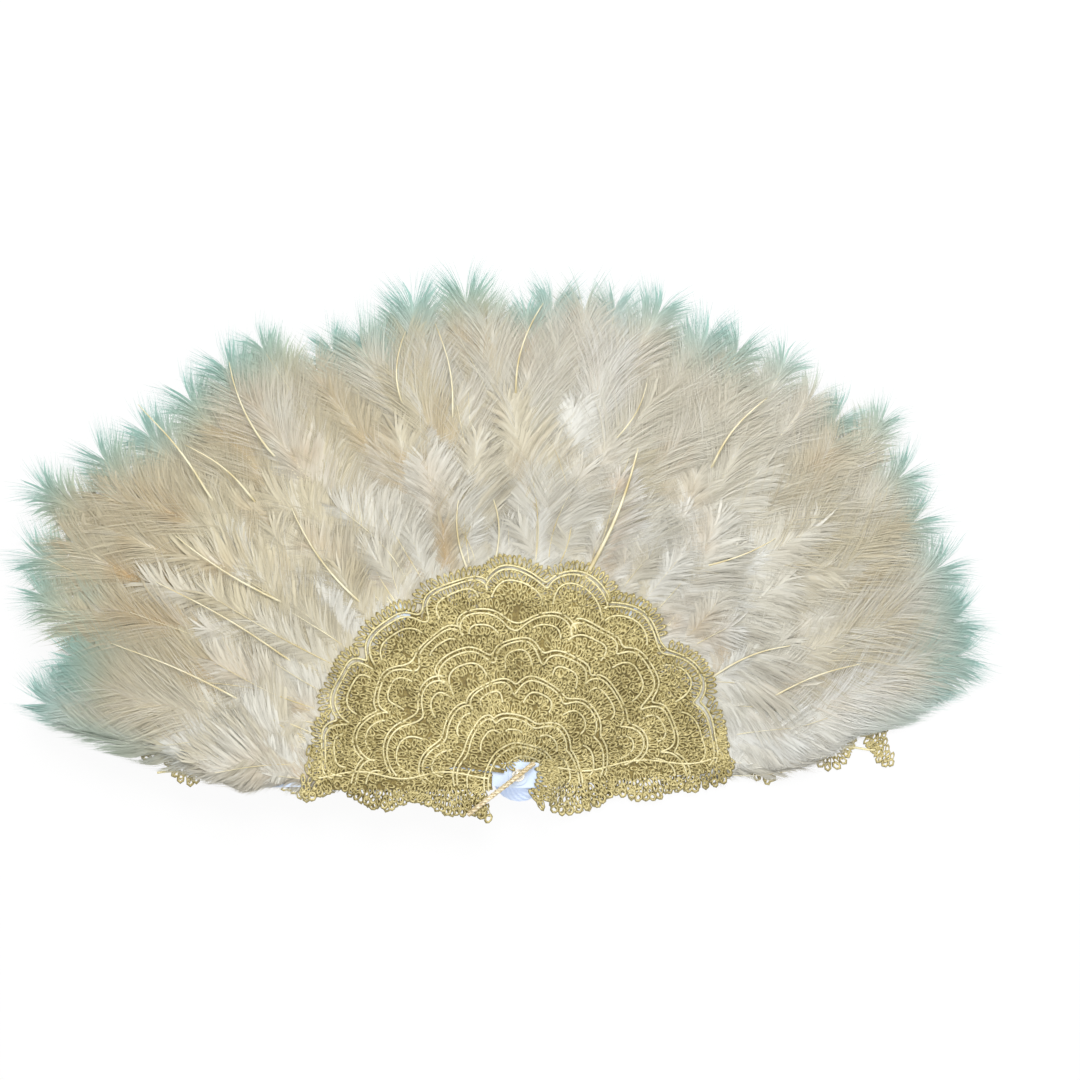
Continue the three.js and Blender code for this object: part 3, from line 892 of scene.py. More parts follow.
# %% Growing the plumes
FINE_BARBS = {"Barbs": 362, "Barb width": 0.008, "Barb length": 1.0, "Unevenness": 0.35, "Lift": 0.05,
              "Roll": 0.25, "Tilt": 0.45}
DOWNY_BARBS = {"Barbs": 170, "Barb width": 0.0065, "Barb length": 1.15, "Unevenness": 0.5, "Lift": 0.08,
               "Roll": 0.5, "Tilt": 0.2, "Lock swing": 0.05, "Flutter": 0.005}
BROAD_BARBS = {"Barbs": 50, "Barb width": 0.085, "Barb length": 0.8, "Unevenness": 0.1, "Lift": 0.0,
               "Roll": 0.05, "Tilt": 0.3}
SHARED = {"Curl": 0.28, "Lock swing": 0.22, "Flutter": 0.009,
          "Climb": LAYER_STEP / math.radians(STAVE_PITCH),
          "Edge slope": math.tan(math.radians(FIRST_ANGLE)), "Finish": champagne_barb}
UNDER_LACE = 1.5
EDGE_RISES = (0.31, 0.36)
FRINGE_DEPTHS = (0.036, 0.046)
SHAFT_SIDES = 5
PLUME_SEED = 4100
BARB_SEED = 60

downy = sum(row["count"] for row in ROWS[:DOWNY_ROWS])
total = 0
for index, (number, body) in enumerate(zip(NUMBERS, BODIES)):
    rng = np.random.default_rng(PLUME_SEED + index)
    planned = [plan_feather(rng, index, row_number, place)
               for row_number, row in enumerate(ROWS) for place in range(row["count"])]
    lines = [vane for _, vane, _ in planned]
    left = index > STAVE_COUNT // 2
    settings = {**SHARED, "Seed": BARB_SEED + index, "Axis": math.radians(ANGLES[index]),
                "Floor": level(f"front_lace_{number}") - UNDER_LACE * MM,
                "Edge rise": EDGE_RISES[left], "Fringe depth": FRINGE_DEPTHS[left]}
    barbs = grown(f"barbs_{number}", polylines("lines", lines), grow_barbs, {**settings, **FINE_BARBS})
    vanes = grown(f"vanes_{number}", polylines("lines", lines), grow_barbs, {**settings, **BROAD_BARBS})
    outer = [brush for _, _, brush in planned[:downy]]
    down = grown(f"down_{number}", polylines("lines", outer), grow_barbs, {**settings, **DOWNY_BARBS})
    shaft_lines = [shaft for shaft, _, _ in planned] + plan_bare_shafts(index)
    shafts = grown(f"shafts_{number}", polylines("lines", shaft_lines), sweep_strands,
                   {"Sides": SHAFT_SIDES, "Finish": ivory_shaft})
    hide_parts(f"plume_{number}")
    for piece in (barbs, vanes, down):
        tile_map(piece, 2, BARB_STEPS)
    for piece in (barbs, vanes, down, shafts):
        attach(piece, body)
        total += triangles(piece)
        flatten(piece, "feathers", index)
print("feather triangles:", total)

# %% [markdown]
# ## Gold lace
# The lace is a crochet of small thread loops, laid in rows like fish scales, with pairs of pale
# cords that run along every row in round arches. A bump map would look flat at the rim, where
# loops stand free, so every loop is a small ring of thread. The rows go round the rivet, and
# what lies on each gore rides with its stave.


# %% Lace finishes
FIBRE_SCALE = 900.0
CLOUD_SCALE = 45.0
FIBRE_SHARE = 0.6
THREAD_RANGE = (0.32, 0.66)
FIBRE_ROUGHNESS = 0.3


def thread_finish(name, low, high, roughness):
    """Twisted metallic yarn: a fine grain of fibres over slow clouds of wear."""
    material, graph, shader = new_material(name, Metallic=0.25)
    grain = noise(graph, FIBRE_SCALE)
    worn = grain * FIBRE_SHARE + noise(graph, CLOUD_SCALE) * (1 - FIBRE_SHARE)
    graph.feed(shader, "Base Color", blend(graph, ease(graph, worn, *THREAD_RANGE), low, high))
    graph.feed(shader, "Roughness", roughness + grain * FIBRE_ROUGHNESS)
    return material


gold_thread = thread_finish("gold_thread", linear(146, 132, 80), linear(214, 201, 146), 0.4)
pale_cord = thread_finish("pale_cord", linear(180, 168, 116), linear(226, 217, 174), 0.3)
# The net: a darker thread, and painted shade in the gaps between the loops.
net_and_gap_shade = thread_finish("net_and_gap_shade", linear(98, 84, 42), linear(146, 130, 74), 0.5)
print("lace finishes:", gold_thread.name, pale_cord.name, net_and_gap_shade.name)

# %% [markdown]
# ## The loop tree
# A crochet stitch shows as one small loop of yarn. Thousands of separate rings would be slow to
# make one by one, so the tree makes a single ring of thread and puts it on every seed point, with
# that point's own turn and size.

# %% Loops of thread
RING_STEPS = {"front": 8, "back": 6}
RING_SIDES = 3
LOOP_THREAD = 0.5


def loop_tree():
    tree, graph, given = new_tree("crochet_loops", [
        ("Steps", "Int", 8), ("Thread", "Float", 0.35), ("Finish", "Material", None)])
    inputs = {"Resolution": given["Steps"], "Radius": 1.0}
    ring = graph.node("GeometryNodeCurvePrimitiveCircle", None, inputs)
    inputs = {"Resolution": RING_SIDES, "Radius": given["Thread"]}
    thread = graph.node("GeometryNodeCurvePrimitiveCircle", None, inputs)
    loop = graph.node("GeometryNodeCurveToMesh", None, {"Curve": ring, "Profile Curve": thread})
    points = graph.node("GeometryNodeMeshToPoints", None, {"Mesh": given["Geometry"]})
    euler, size = (named(graph, key, "FLOAT_VECTOR") for key in ("turn", "size"))
    turn = graph.node("FunctionNodeEulerToRotation", None, {"Euler": euler})
    loops = graph.node("GeometryNodeInstanceOnPoints", None, {
        "Points": points, "Instance": loop, "Rotation": turn, "Scale": size})
    return close_tree(tree, graph, loops, given["Finish"])


def seed_points(points, turns, sizes):
    mesh = bpy.data.meshes.new("seeds")
    mesh.from_pydata(points.tolist(), [], [])
    for key, values in (("turn", turns), ("size", sizes)):
        made = mesh.attributes.new(key, "FLOAT_VECTOR", "POINT")
        made.data.foreach_set("vector", values.astype(np.float32).ravel())
    return mesh


crochet_loops = loop_tree()
print("loop tree nodes:", len(crochet_loops.nodes))

# %% [markdown]
# ## Scales of lace
# The pattern is one of overlapping scales that point away from the rivet. Every scale is a round
# arch on two straight legs, and each row lies half hidden behind the row that is nearer to the
# rivet. A picture of the pattern could be laid on, but threads need lines to follow, so it is drawn
# scale by scale. A scale is kept as its middle angle, the radius of its arch's centre, its half
# width and the half angle in which it shows, and it is drawn in its own two directions, across and
# outward.

# %% Scales
FRONT_ROWS = [(LACE_EDGE, 20, 0.0), (98, 21, 0.5), (78, 25, 0.1), (58, 32, 0.5), (39, 46, 0.0),
              (23, 72, 0.5)]
BACK_ROWS = [(208, 11, 0.0), (187, 12, 0.5), (166, 13, 0.1), (145, 15, 0.6), (124, 18, 0.2),
             (103, 20, 0.5), (82, 24, 0.1), (61, 30, 0.6), (40, 46, 0.0), (23, 72, 0.5)]
Scale = namedtuple("Scale", "angle centre half sector")
SCALE_OVERLAP = 1.22
SCALE_LEG = 14
SCALE_SQUARE = 2.6
SCALE_JITTER = (0.07, 1.6, 0.06)
SCALE_SEED = 31
SCALE_MARGIN = 0.6
ROW_SPARE = 0.25
LACE_INNER = 7.5
HEAD_OPENING = 14.5
HEAD_SHADE = 4
ROW_DROP = 7
FREE_EDGE = (LACE_EDGE, 190)
FREE_DROP = -16


def scale_rows(rows):
    """Every scale of a lace, row by row from the rim, no two quite alike."""
    layout = []
    rng = np.random.default_rng(SCALE_SEED)
    for reach, pitch, phase in rows:
        half = reach * math.tan(math.radians(pitch / 2)) * SCALE_OVERLAP
        last = 90 / pitch + ROW_SPARE
        numbers = range(math.ceil(phase - last), math.floor(phase + last) + 1)
        row = []
        for n in numbers:
            turn, out, wide = rng.normal(0, SCALE_JITTER)
            size = half * (1 + wide)
            row.append(Scale(90 + (n - phase + turn) * pitch, reach + out - size, size, pitch / 2))
        layout.append(row)
    return layout


def on_scale(points, scale):
    """Where points lie across a scale, and outward from the centre of its arch."""
    angle = math.radians(scale.angle)
    across = points @ np.array([math.sin(angle), -math.cos(angle)])
    return across, points @ np.array([math.cos(angle), math.sin(angle)]) - scale.centre


def covers(points, scale):
    """True where a scale lies over points."""
    across, out = on_scale(points, scale)
    size = (np.abs(across) ** SCALE_SQUARE + np.maximum(out, 0) ** SCALE_SQUARE) ** (1 / SCALE_SQUARE)
    return (size < scale.half - SCALE_MARGIN) & (out > -SCALE_LEG)


def in_sector(points, scale):
    """True where a scale isn't behind its neighbour."""
    across, out = on_scale(points, scale)
    return np.abs(np.degrees(np.arctan2(across, out + scale.centre))) <= scale.sector


def in_view(points, nearer_rows):
    """True where points aren't behind a nearer row, and are clear of rivet and hem."""
    seen = over_staves(points)
    for row in nearer_rows:
        for scale in row:
            seen &= ~covers(points, scale)
    return seen


def edge_drop(radius):
    """How far the scales reach below a guard's middle line: less where only feathers cover them."""
    return ROW_DROP + (FREE_DROP - ROW_DROP) * smooth(*FREE_EDGE, radius)


def over_staves(points):
    """True outside the rivet's clearing and above the hem."""
    radius = np.hypot(*points.T)
    rise = math.tan(math.radians(FIRST_ANGLE))
    clear = points[:, 1] + edge_drop(radius) - np.abs(points[:, 0]) * rise
    opening = np.where(points[:, 0] < 0, HEAD_OPENING, LACE_INNER)
    near_heads = points[:, 1] < HEAD_SHADE
    return (radius > np.where(near_heads, opening, LACE_INNER)) & (clear > 0)


for title, rows in (("front", FRONT_ROWS), ("back", BACK_ROWS)):
    print("scales of the", title, "lace:", sum(len(row) for row in scale_rows(rows)))


# %% Lines on a scale
ARCH_POINTS = 25
LEG_POINTS = 7
LACE_WANDER = 1.9
WANDER_WAVES = np.array([[0.07, 0.13], [0.12, -0.09]])
WANDER_PHASES = (1, 0)


def polar(radius, degrees):
    angle = np.radians(degrees)
    return np.stack([radius * np.cos(angle), radius * np.sin(angle)], axis=1)


def resampled(line, spacing):
    """Even steps along a line, with the direction that points to its right at each."""
    steps = np.hypot(*np.diff(line, axis=0).T)
    run = np.concatenate([[0], np.cumsum(steps)])
    at = np.arange(spacing / 2, run[-1], spacing)
    points = np.stack([np.interp(at, run, line[:, axis]) for axis in (0, 1)], axis=1)
    ahead = np.gradient(points, axis=0)
    ahead /= np.maximum(np.hypot(*ahead.T), 1e-9)[:, None]
    return points, np.stack([ahead[:, 1], -ahead[:, 0]], axis=1)


def arch_line(scale, inset):
    """A line up one leg of a scale, over its arch and down again, this far inside its edge."""
    radius = scale.half - inset
    turn = np.linspace(-np.pi / 2, np.pi / 2, ARCH_POINTS)
    leg = np.linspace(SCALE_LEG, 0, LEG_POINTS + 1)[:-1]
    bulge = 2 / SCALE_SQUARE
    arch = np.stack([np.sign(turn) * np.abs(np.sin(turn)) ** bulge, np.abs(np.cos(turn)) ** bulge])
    across = radius * np.concatenate([-np.ones(LEG_POINTS), arch[0], np.ones(LEG_POINTS)])
    out = scale.centre + np.concatenate([-leg, radius * arch[1], -leg[::-1]])
    return beside(out, math.radians(scale.angle), -across)


def hand_made(points):
    """Moves points by a slow wave, because no two scales of real lace are alike."""
    return points + LACE_WANDER * np.sin(points @ WANDER_WAVES.T + WANDER_PHASES)


print("points on an arch:", ARCH_POINTS + 2 * LEG_POINTS)

# %% [markdown]
# ## The hems
# Below the two guards the lace ends in a hem of rounded tufts, which hangs deepest near the rivet
# and shows again in places below the feathers. A strip of lace could be laid on, but the hem is
# the gore's own edge, so it is one wavy line, and the loops follow copies of it further in.

# %% Hem lines
HEM_START = 16
HEM_END = BACK_ROWS[0][0]
HEM_STEP = 0.8
HEM_DROP = 22
HEM_TIP_DROP = {0: 9, STAVE_COUNT - 1: 3}
HEM_EASE = 1.5
HEM_WAVE = (7, 22)
HEM_ROUND = (0.5, 1.2)
HEM_FREE = (108, 128)
HEM_PITCH = 35
HEM_FIRST = {0: 33, STAVE_COUNT - 1: 44}


def hem_line(index, reach, depth):
    """The lower edge of a guard's lace, or a line this far inside it."""
    along = np.arange(HEM_START, reach, HEM_STEP)
    share = (HEM_END - along) / (HEM_END - HEM_START)
    free = smooth(*HEM_FREE, along)
    tuft = np.abs(np.cos(np.pi * (along - HEM_FIRST[index]) / HEM_PITCH))
    notch = (1 - tuft ** np.interp(free, (0, 1), HEM_ROUND)) * np.interp(free, (0, 1), HEM_WAVE)
    tip_drop = HEM_TIP_DROP[index]
    drop = tip_drop + (HEM_DROP - tip_drop) * share ** HEM_EASE - notch - depth
    if index == 0:
        return beside(along, math.radians(ANGLES[index]), -drop)
    return beside(along, math.radians(ANGLES[index]), drop)[::-1]


def stave_of(points):
    """The number of the stave whose gore holds each point."""
    number = np.round((bearing(points) - FIRST_ANGLE) / STAVE_PITCH)
    return np.clip(number, 0, STAVE_COUNT - 1).astype(int)


print("hem points:", len(hem_line(0, HEM_END, 0)))

# %% [markdown]
# ## Lace over the staves
# Real lace is one cloth, so each gore slopes from the level of the stave on its right to that of
# the stave on its left. Close to the rivet the staves lie on top of each other, and the lace rides
# up by one layer for every stave that crosses it, which hides the narrow necks.

# %% Drape
NECK_WIDTH = 9.5
DRAPE_BAND = (2.5 * NECK_WIDTH, 52)


def drape(index, points):
    """How far the lace rises above its own stave's level, in millimetres."""
    radius = np.hypot(*points.T)
    crossing = np.degrees(np.arcsin(np.minimum(1, NECK_WIDTH / 2 / np.maximum(radius, 1))))
    layers = np.minimum((crossing + STAVE_PITCH / 2) / STAVE_PITCH, STAVE_COUNT - 1 - index)
    return layers * LAYER_STEP / MM * (1 - smooth(*DRAPE_BAND, radius))


print("rise next to the rivet (mm):", round(float(drape(0, np.array([[0, 8.0]]))[0]), 1))

# %% [markdown]
# ## Loops and cords
# From its edge inwards, a scale has a band of loops, a pair of cords, a second band, a single cord
# that makes a small inner arch, and more loops inside that. Looser loops fill the net behind.
# The hem of a guard has lines of loops and larger open rings along its edge. Loops strewn at
# random would show no pattern, so they are set at even steps along these lines and only then
# moved and turned a little.

# %% The pattern of a lace
LOOP_BANDS = [(2.4, 2.5), (9.8, 2.2), (15.6, 2.1), (20.0, 2.0)]
PAIR_INSETS = [5.3, 7.3]
ARCH_INSET = 12.7
SMALLEST_ARCH = 2
HEM_BANDS = [(1.6 + 3.6 * number, 2.2) for number in range(7)]
LOOP_STRAY = 0.14
HEM_STRAY = 0.6
HEM_CORNER = 16
LOOP_WIDTH = 0.95
LOOP_SPACING = 2.8
PICOT_SIZE = (2.0, 1.6)
PICOT_SPACING = 4.4
PICOT_HANG = 1.0
FILL_SPACING = 3.9
FILL_SHIFT = 0.35
FILL_TURN = 0.4
TURN_STRAY = 0.13
SIZE_RANGE = (0.88, 1.14)
LOOP_HEIGHT = 0.35
FILL_HEIGHT = -0.1
HEIGHT_STRAY = 0.3
HEM_SIDES = (0, STAVE_COUNT - 1)


def scale_bands(layout):
    """Loops on the scales: places, outward directions, half lengths and widths, and stray."""
    for row, scales in enumerate(layout):
        for scale in scales:
            for inset, length in LOOP_BANDS:
                if scale.half - inset > SMALLEST_ARCH:
                    points, away = resampled(arch_line(scale, inset), LOOP_SPACING)
                    seen = in_sector(points, scale) & in_view(points, layout[row + 1:])
                    yield points[seen], away[seen], (length, LOOP_WIDTH), LOOP_STRAY


def hem_bands(reach):
    """Loops of the hems, where they hang below the scales."""
    for index in HEM_SIDES:
        for depth, length in HEM_BANDS:
            points, away = resampled(hem_line(index, reach, depth), LOOP_SPACING)
            hangs = ~over_staves(points) | (np.hypot(*points.T) > reach - HEM_CORNER)
            yield points[hangs], away[hangs], (length, LOOP_WIDTH), HEM_STRAY
        points, away = resampled(hem_line(index, reach, -PICOT_HANG), PICOT_SPACING)
        yield points, away, PICOT_SIZE, HEM_STRAY


def fill_band(rng, reach, depth):
    """Loosely strewn loops behind the scales, as half-turned stitches."""
    side = np.arange(-reach, reach, FILL_SPACING)
    grid = np.stack(np.meshgrid(side, side), axis=-1).reshape(-1, 2)
    grid = grid + rng.uniform(-1, 1, grid.shape) * FILL_SPACING * FILL_SHIFT
    grid = grid[over_staves(grid) & (np.hypot(*grid.T) < reach - depth)]
    turn = np.arctan2(grid[:, 1], grid[:, 0]) + rng.normal(0, FILL_TURN, len(grid))
    away = np.stack([np.cos(turn), np.sin(turn)], axis=1)
    return grid, away, (LOOP_BANDS[-1][1], LOOP_WIDTH), LOOP_STRAY


def lace_loops(rng, layout, reach):
    """Places, turns, sizes and heights of all the loops of one lace, in millimetres."""
    rows = []
    bands = [*scale_bands(layout), *hem_bands(reach), fill_band(rng, reach, layout[0][0].half / 2)]
    for number, (points, away, size, stray) in enumerate(bands):
        count = len(points)
        places = hand_made(points) + rng.normal(0, stray, points.shape)
        turns = np.arctan2(away[:, 1], away[:, 0]) + rng.normal(0, TURN_STRAY + stray / 3, count)
        sizes = np.array(size) * rng.uniform(*SIZE_RANGE, (count, 2))
        low = FILL_HEIGHT if number == len(bands) - 1 else LOOP_HEIGHT
        rows.append(np.column_stack([places, turns, sizes, rng.uniform(low, low + HEIGHT_STRAY, count)]))
    whole = np.concatenate(rows)
    return whole[:, :2], whole[:, 2], whole[:, 3:5], whole[:, 5]


print("loop bands on a scale:", len(LOOP_BANDS), "and on a hem:", len(HEM_BANDS) + 1)

# %% [markdown]
# ## Cords on the lace
# The pale cords of a real lace run on from arch to arch and round through the valleys between
# them. Separate arches would meet in sharp corners, so the arches of a row are joined to one line
# and its corners are eased. Here and there a cord sinks between the loops.

# %% Cord lines
CORD_STEP = 1.3
CORD_EASE = 1.8
SHORTEST_RUN = 3
GUARD_CORD_END = 8
CORD_HEIGHT = 0.6
CORD_SINK = 0.5
SINK_WAVES = np.array([[0.23, 0.11], [-0.08, 0.19]])
SINK_PHASES = (0, 0.7)


def kept_runs(line, keep):
    """The stretches of a line that are kept."""
    ends = np.flatnonzero(np.diff(np.r_[0, keep.astype(int), 0]))
    runs = zip(ends[::2], ends[1::2])
    return [line[first:last] for first, last in runs if last - first > SHORTEST_RUN]


def arch_part(scale, inset):
    """What shows of a cord over one scale's arch."""
    line, _ = resampled(arch_line(scale, inset), CORD_STEP)
    return line[in_sector(line, scale)]


def eased(line):
    """Rounds a line's corners by a soft running mean."""
    reach = math.ceil(3 * CORD_EASE)
    weight = np.exp(-0.5 * (np.arange(-reach, reach + 1) / CORD_EASE) ** 2)
    ends = np.pad(line, ((reach, reach), (0, 0)), mode="edge")
    return np.stack([np.convolve(side, weight / weight.sum(), "valid") for side in ends.T], axis=1)


def row_cord(scales, inset):
    """One cord along a whole row: over every arch, and round through the valley to the next."""
    parts_in_turn = [arch_part(scale, inset) for scale in reversed(scales)]
    return eased(resampled(np.concatenate(parts_in_turn), CORD_STEP)[0])


def lace_cords(layout, reach):
    """Cord lines of one lace, in millimetres, with the stave that each rides on."""
    lines = []
    for row, scales in enumerate(layout):
        inner = [arch_part(scale, ARCH_INSET) for scale in scales
                 if scale.half > ARCH_INSET + SMALLEST_ARCH]
        for line in [row_cord(scales, inset) for inset in PAIR_INSETS] + inner:
            lines += kept_runs(line, in_view(line, layout[row + 1:]))
    for index in HEM_SIDES:
        lines.append(polar(np.arange(HEM_START, reach - GUARD_CORD_END, CORD_STEP), ANGLES[index]))
    return [part for line in lines for part in cut_by_stave(hand_made(line))]


def cut_by_stave(line):
    """Splits a line where it passes from one gore to the next."""
    owner = stave_of(line)
    breaks = np.flatnonzero(np.diff(owner)) + 1
    for first, last in zip(np.r_[0, breaks], np.r_[breaks, len(line)]):
        stretch = line[max(first - 1, 0):last + 1]
        if len(stretch) > 2:
            yield owner[first], stretch


def cord_height(points):
    """How high a cord lies on the lace, in millimetres: here and there the loops cover it."""
    wave = np.sin(points @ SINK_WAVES.T + SINK_PHASES)
    return CORD_HEIGHT + CORD_SINK * wave[:, 0] * wave[:, 1]


print("cord stretches in front:", len(lace_cords(scale_rows(FRONT_ROWS), LACE_EDGE)))

# %% [markdown]
# ## The net behind
# Loops and cords are sewn to a fine net that lets almost no light through. A real net has far too
# many meshes to model, so each gore gets one thin dark sheet between its edges: the net's darker
# thread, made darker still as painted shade in the gaps between the loops.

# %% Lace grounds
GROUND_INNER = 8
GROUND_HEIGHT = -0.2
GROUND_MARGIN = 11
GROUND_STEPS = (24, 8)
GORE_OVERLAP = 0.6
GROUND_HEM = 1


def ground_sheet(name, index, reach, lay):
    """The fine net behind the loops of one gore, dark also as painted shade: a sheet between its two
    edges.
    """
    half = STAVE_PITCH / 2 + GORE_OVERLAP
    inner = HEAD_OPENING if index == STAVE_COUNT - 1 else GROUND_INNER
    radius = np.linspace(inner, reach - GROUND_MARGIN, GROUND_STEPS[0])
    edges = []
    for way, guard in ((-1, 0), (1, STAVE_COUNT - 1)):
        edge = polar(radius, ANGLES[index] + way * half)
        if index == guard:
            angle = math.radians(ANGLES[index])
            down = way * np.array([-math.sin(angle), math.cos(angle)])
            edge = polar(radius, ANGLES[index]) + np.outer(edge_drop(radius) + GROUND_HEM, down)
        edges.append(edge)
    share = np.linspace(0, 1, GROUND_STEPS[1])[:, None, None]
    flat = (edges[0] * (1 - share) + edges[1] * share).reshape(-1, 2)
    long, wide = GROUND_STEPS
    faces = [(row * long + n, row * long + n + 1, (row + 1) * long + n + 1, (row + 1) * long + n)
             for row in range(wide - 1) for n in range(long - 1)]
    mesh = bpy.data.meshes.new(name)
    mesh.from_pydata(lay(flat, np.full(len(flat), GROUND_HEIGHT)).tolist(), [], faces)
    mesh.materials.append(net_and_gap_shade)
    piece = bpy.data.objects.new(name, mesh)
    bpy.context.collection.objects.link(piece)
    cut = sum(face.area for face in mesh.polygons)
    width = max(np.hypot(*(edges[1] - edges[0]).T)) * MM
    return piece, (width, (reach - GROUND_MARGIN - inner) * MM), cut


print("points of a ground:", math.prod(GROUND_STEPS))


# %% Making both laces
LACE_SEED = 77
LOOP_TILT = 0.12
CORD_RADIUS = 0.62
CORD_SIDES = 6


def make_lace(kind, rows, side):
    """Ground, loops and cords for every gore. Side is 1 on the front and -1 on the back."""
    rng = np.random.default_rng(LACE_SEED + len(rows))
    reach = rows[0][0]
    layout = scale_rows(rows)
    places, turns, sizes, heights = lace_loops(rng, layout, reach)
    cords = lace_cords(layout, reach)
    owner = stave_of(places)
    count = len(places)
    tilt = rng.normal(0, LOOP_TILT, (count, 2))
    sizes = np.column_stack([sizes, np.full(count, LOOP_WIDTH)])
    made = 0
    for index, (number, body) in enumerate(zip(NUMBERS, BODIES)):
        node = f"{kind}_lace_{number}"
        face = level(node, top=side > 0) / MM

        def lay(flat, height):
            """Points on this gore, raised off its face by a height."""
            rise = slope(index, flat) + (drape(index, flat) if side > 0 else 0)
            return np.column_stack([flat, face + side * height + rise]) * MM

        mine = owner == index
        spin = np.column_stack([tilt[mine], turns[mine]])
        seeds = seed_points(lay(places[mine], heights[mine]), spin, sizes[mine] * MM)
        loops = grown(f"{kind}_loops_{number}", seeds, crochet_loops,
                      {"Steps": RING_STEPS[kind], "Thread": LOOP_THREAD, "Finish": gold_thread})
        lines = [(lay(line, cord_height(line)), {"thick": np.full(len(line), CORD_RADIUS * MM)})
                 for stave, line in cords if stave == index]
        cord = grown(f"{kind}_cords_{number}", polylines("lines", lines), sweep_strands,
                     {"Sides": CORD_SIDES, "Finish": pale_cord})
        ground, flat, cut = ground_sheet(f"{kind}_ground_{number}", index, reach, lay)
        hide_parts(node)
        tile_map(loops, RING_SIDES, RING_STEPS[kind])
        for piece in (ground, loops, cord):
            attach(piece, body)
            made += triangles(piece)
        for piece in (ground, loops, cord):
            flatten(piece, kind, index)
    print(kind, "lace loops:", count, "triangles:", made)


make_lace("front", FRONT_ROWS, 1)
make_lace("back", BACK_ROWS, -1)

# %% [markdown]
# ## Loops over the heads
# To the right of the rivet the lace laps over the heads of the staves. A wider gore could reach
# there, but it would have to bend round the heads. The front guard's head lies on top, so a few
# rings of loops of its own are enough, and they turn with it.

# %% Head loops
HEAD_RINGS = [13.4, 15.6, 17.8, 20.0]
HEAD_TURN = (-56, 22)
HEAD_LIFT = 0.3
HEAD_SPACING = 2.2
HEAD_STRAY = 0.4
HEAD_HEIGHTS = 0.5
HEAD_TILT = 0.15
HEAD_TWIST = 0.4
HEAD_SIZES = (0.8, 1.1)
HEAD_SEED = 12


def make_head_loops():
    rng = np.random.default_rng(HEAD_SEED)
    points = np.concatenate([
        polar(radius, np.arange(*HEAD_TURN, math.degrees(HEAD_SPACING / radius)))
        for radius in HEAD_RINGS])
    count = len(points)
    points = points + rng.normal(0, HEAD_STRAY, points.shape)
    height = level(f"front_lace_{NUMBERS[-1]}") / MM + HEAD_LIFT + rng.uniform(0, HEAD_HEIGHTS, count)
    tilt = rng.normal(0, HEAD_TILT, (count, 2))
    twist = np.arctan2(points[:, 1], points[:, 0]) + rng.normal(0, HEAD_TWIST, count)
    turns = np.column_stack([tilt, twist])
    whole_size = np.array([LOOP_BANDS[0][1], LOOP_WIDTH, LOOP_WIDTH])
    sizes = whole_size * rng.uniform(*HEAD_SIZES, (count, 1))
    seeds = seed_points(np.column_stack([points, height]) * MM, turns, sizes * MM)
    loops = grown("head_loops", seeds, crochet_loops,
                  {"Steps": RING_STEPS["front"], "Thread": LOOP_THREAD, "Finish": gold_thread})
    tile_map(loops, RING_SIDES, RING_STEPS["front"])
    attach(loops, "front_guard")
    print("loops over the heads:", count)


make_head_loops()

# %% [markdown]
# ## Staves and rivet
# The staves are cut from bluish white plastic sheet, slightly clouded, with fine handling marks.
# They also get a painted glow, stronger on the inner staves, to light their heads where the front guard
# shades them.
# The rivet and its washer are bright nickel, worn a little dull. They could be modelled anew with
# bevels, but their solids already have the right shapes, so they only get finishes.


# %% Plastic and metal
MILK_WHITE = linear(208, 221, 238)
CLOUDED_WHITE = linear(192, 207, 230)
COOL_LIGHT = linear(206, 218, 248)
NEW_NICKEL = linear(226, 222, 212)
WORN_NICKEL = linear(196, 188, 172)
# Painted light: the glow lifts shaded plastic, most on the stave heads below the front guard.
GUARD_GLOW = 0.05
STAVE_GLOW = 0.22


def plastic_finish(name, glow):
    """White plastic; the glow is painted light that lifts its shaded faces."""
    material, graph, shader = new_material(name, Coat_Weight=0.15, Emission_Strength=glow,
                                           Emission_Color=COOL_LIGHT)
    cloud = ease(graph, noise(graph, 40.0, 3.0), 0.35, 0.68)
    marks = noise(graph, 700.0, 3.0)
    graph.feed(shader, "Base Color", blend(graph, cloud, MILK_WHITE, CLOUDED_WHITE))
    graph.feed(shader, "Roughness", 0.26 + marks * 0.24)
    return material


def metal_finish():
    material, graph, shader = new_material("bright_nickel", Metallic=1.0)
    wear = ease(graph, noise(graph, 500.0, 3.0), 0.4, 0.7)
    graph.feed(shader, "Base Color", blend(graph, wear, NEW_NICKEL, WORN_NICKEL))
    graph.feed(shader, "Roughness", 0.2 + wear * 0.2)
    return material


def finish_node(name, material):
    for holder in frame["nodes"][name].material_slots:
        holder.material = material


guard_plastic_painted_glow = plastic_finish("guard_plastic_painted_glow", GUARD_GLOW)
stave_plastic_painted_glow = plastic_finish("stave_plastic_painted_glow", STAVE_GLOW)
bright_nickel = metal_finish()
metal_nodes = ("pivot_rivet", "rivet_washer")
for name in BODIES:
    finish_node(name, guard_plastic_painted_glow if name.endswith("guard") else stave_plastic_painted_glow)
for name in metal_nodes:
    finish_node(name, bright_nickel)
print("finished nodes:", len(BODIES) + len(metal_nodes))

# %% [markdown]
# ## The cord over the rivet
# A cut end of twisted gold cord crosses the rivet and comes to rest on the lace beside it. A bump
# on a plain rod would give it the look, but not its notched outline, so it is three strands, wound
# round one line that rises over the rivet and comes down again.

# %% Twisted cord
TAIL_HEADING = math.radians(216)
TAIL_ROOT = -11
TAIL_REACH = 35
TAIL_RADIUS = 1.5
TAIL_RISE = (-11, -3.5)
TAIL_FALL = (3.5, 17.5)
TAIL_SEAT = 0.3
STRANDS = 3
STRAND_RADIUS = 0.78
STRAND_SIDES = 8
TWIST_LENGTH = 8
TAIL_POINTS = 70


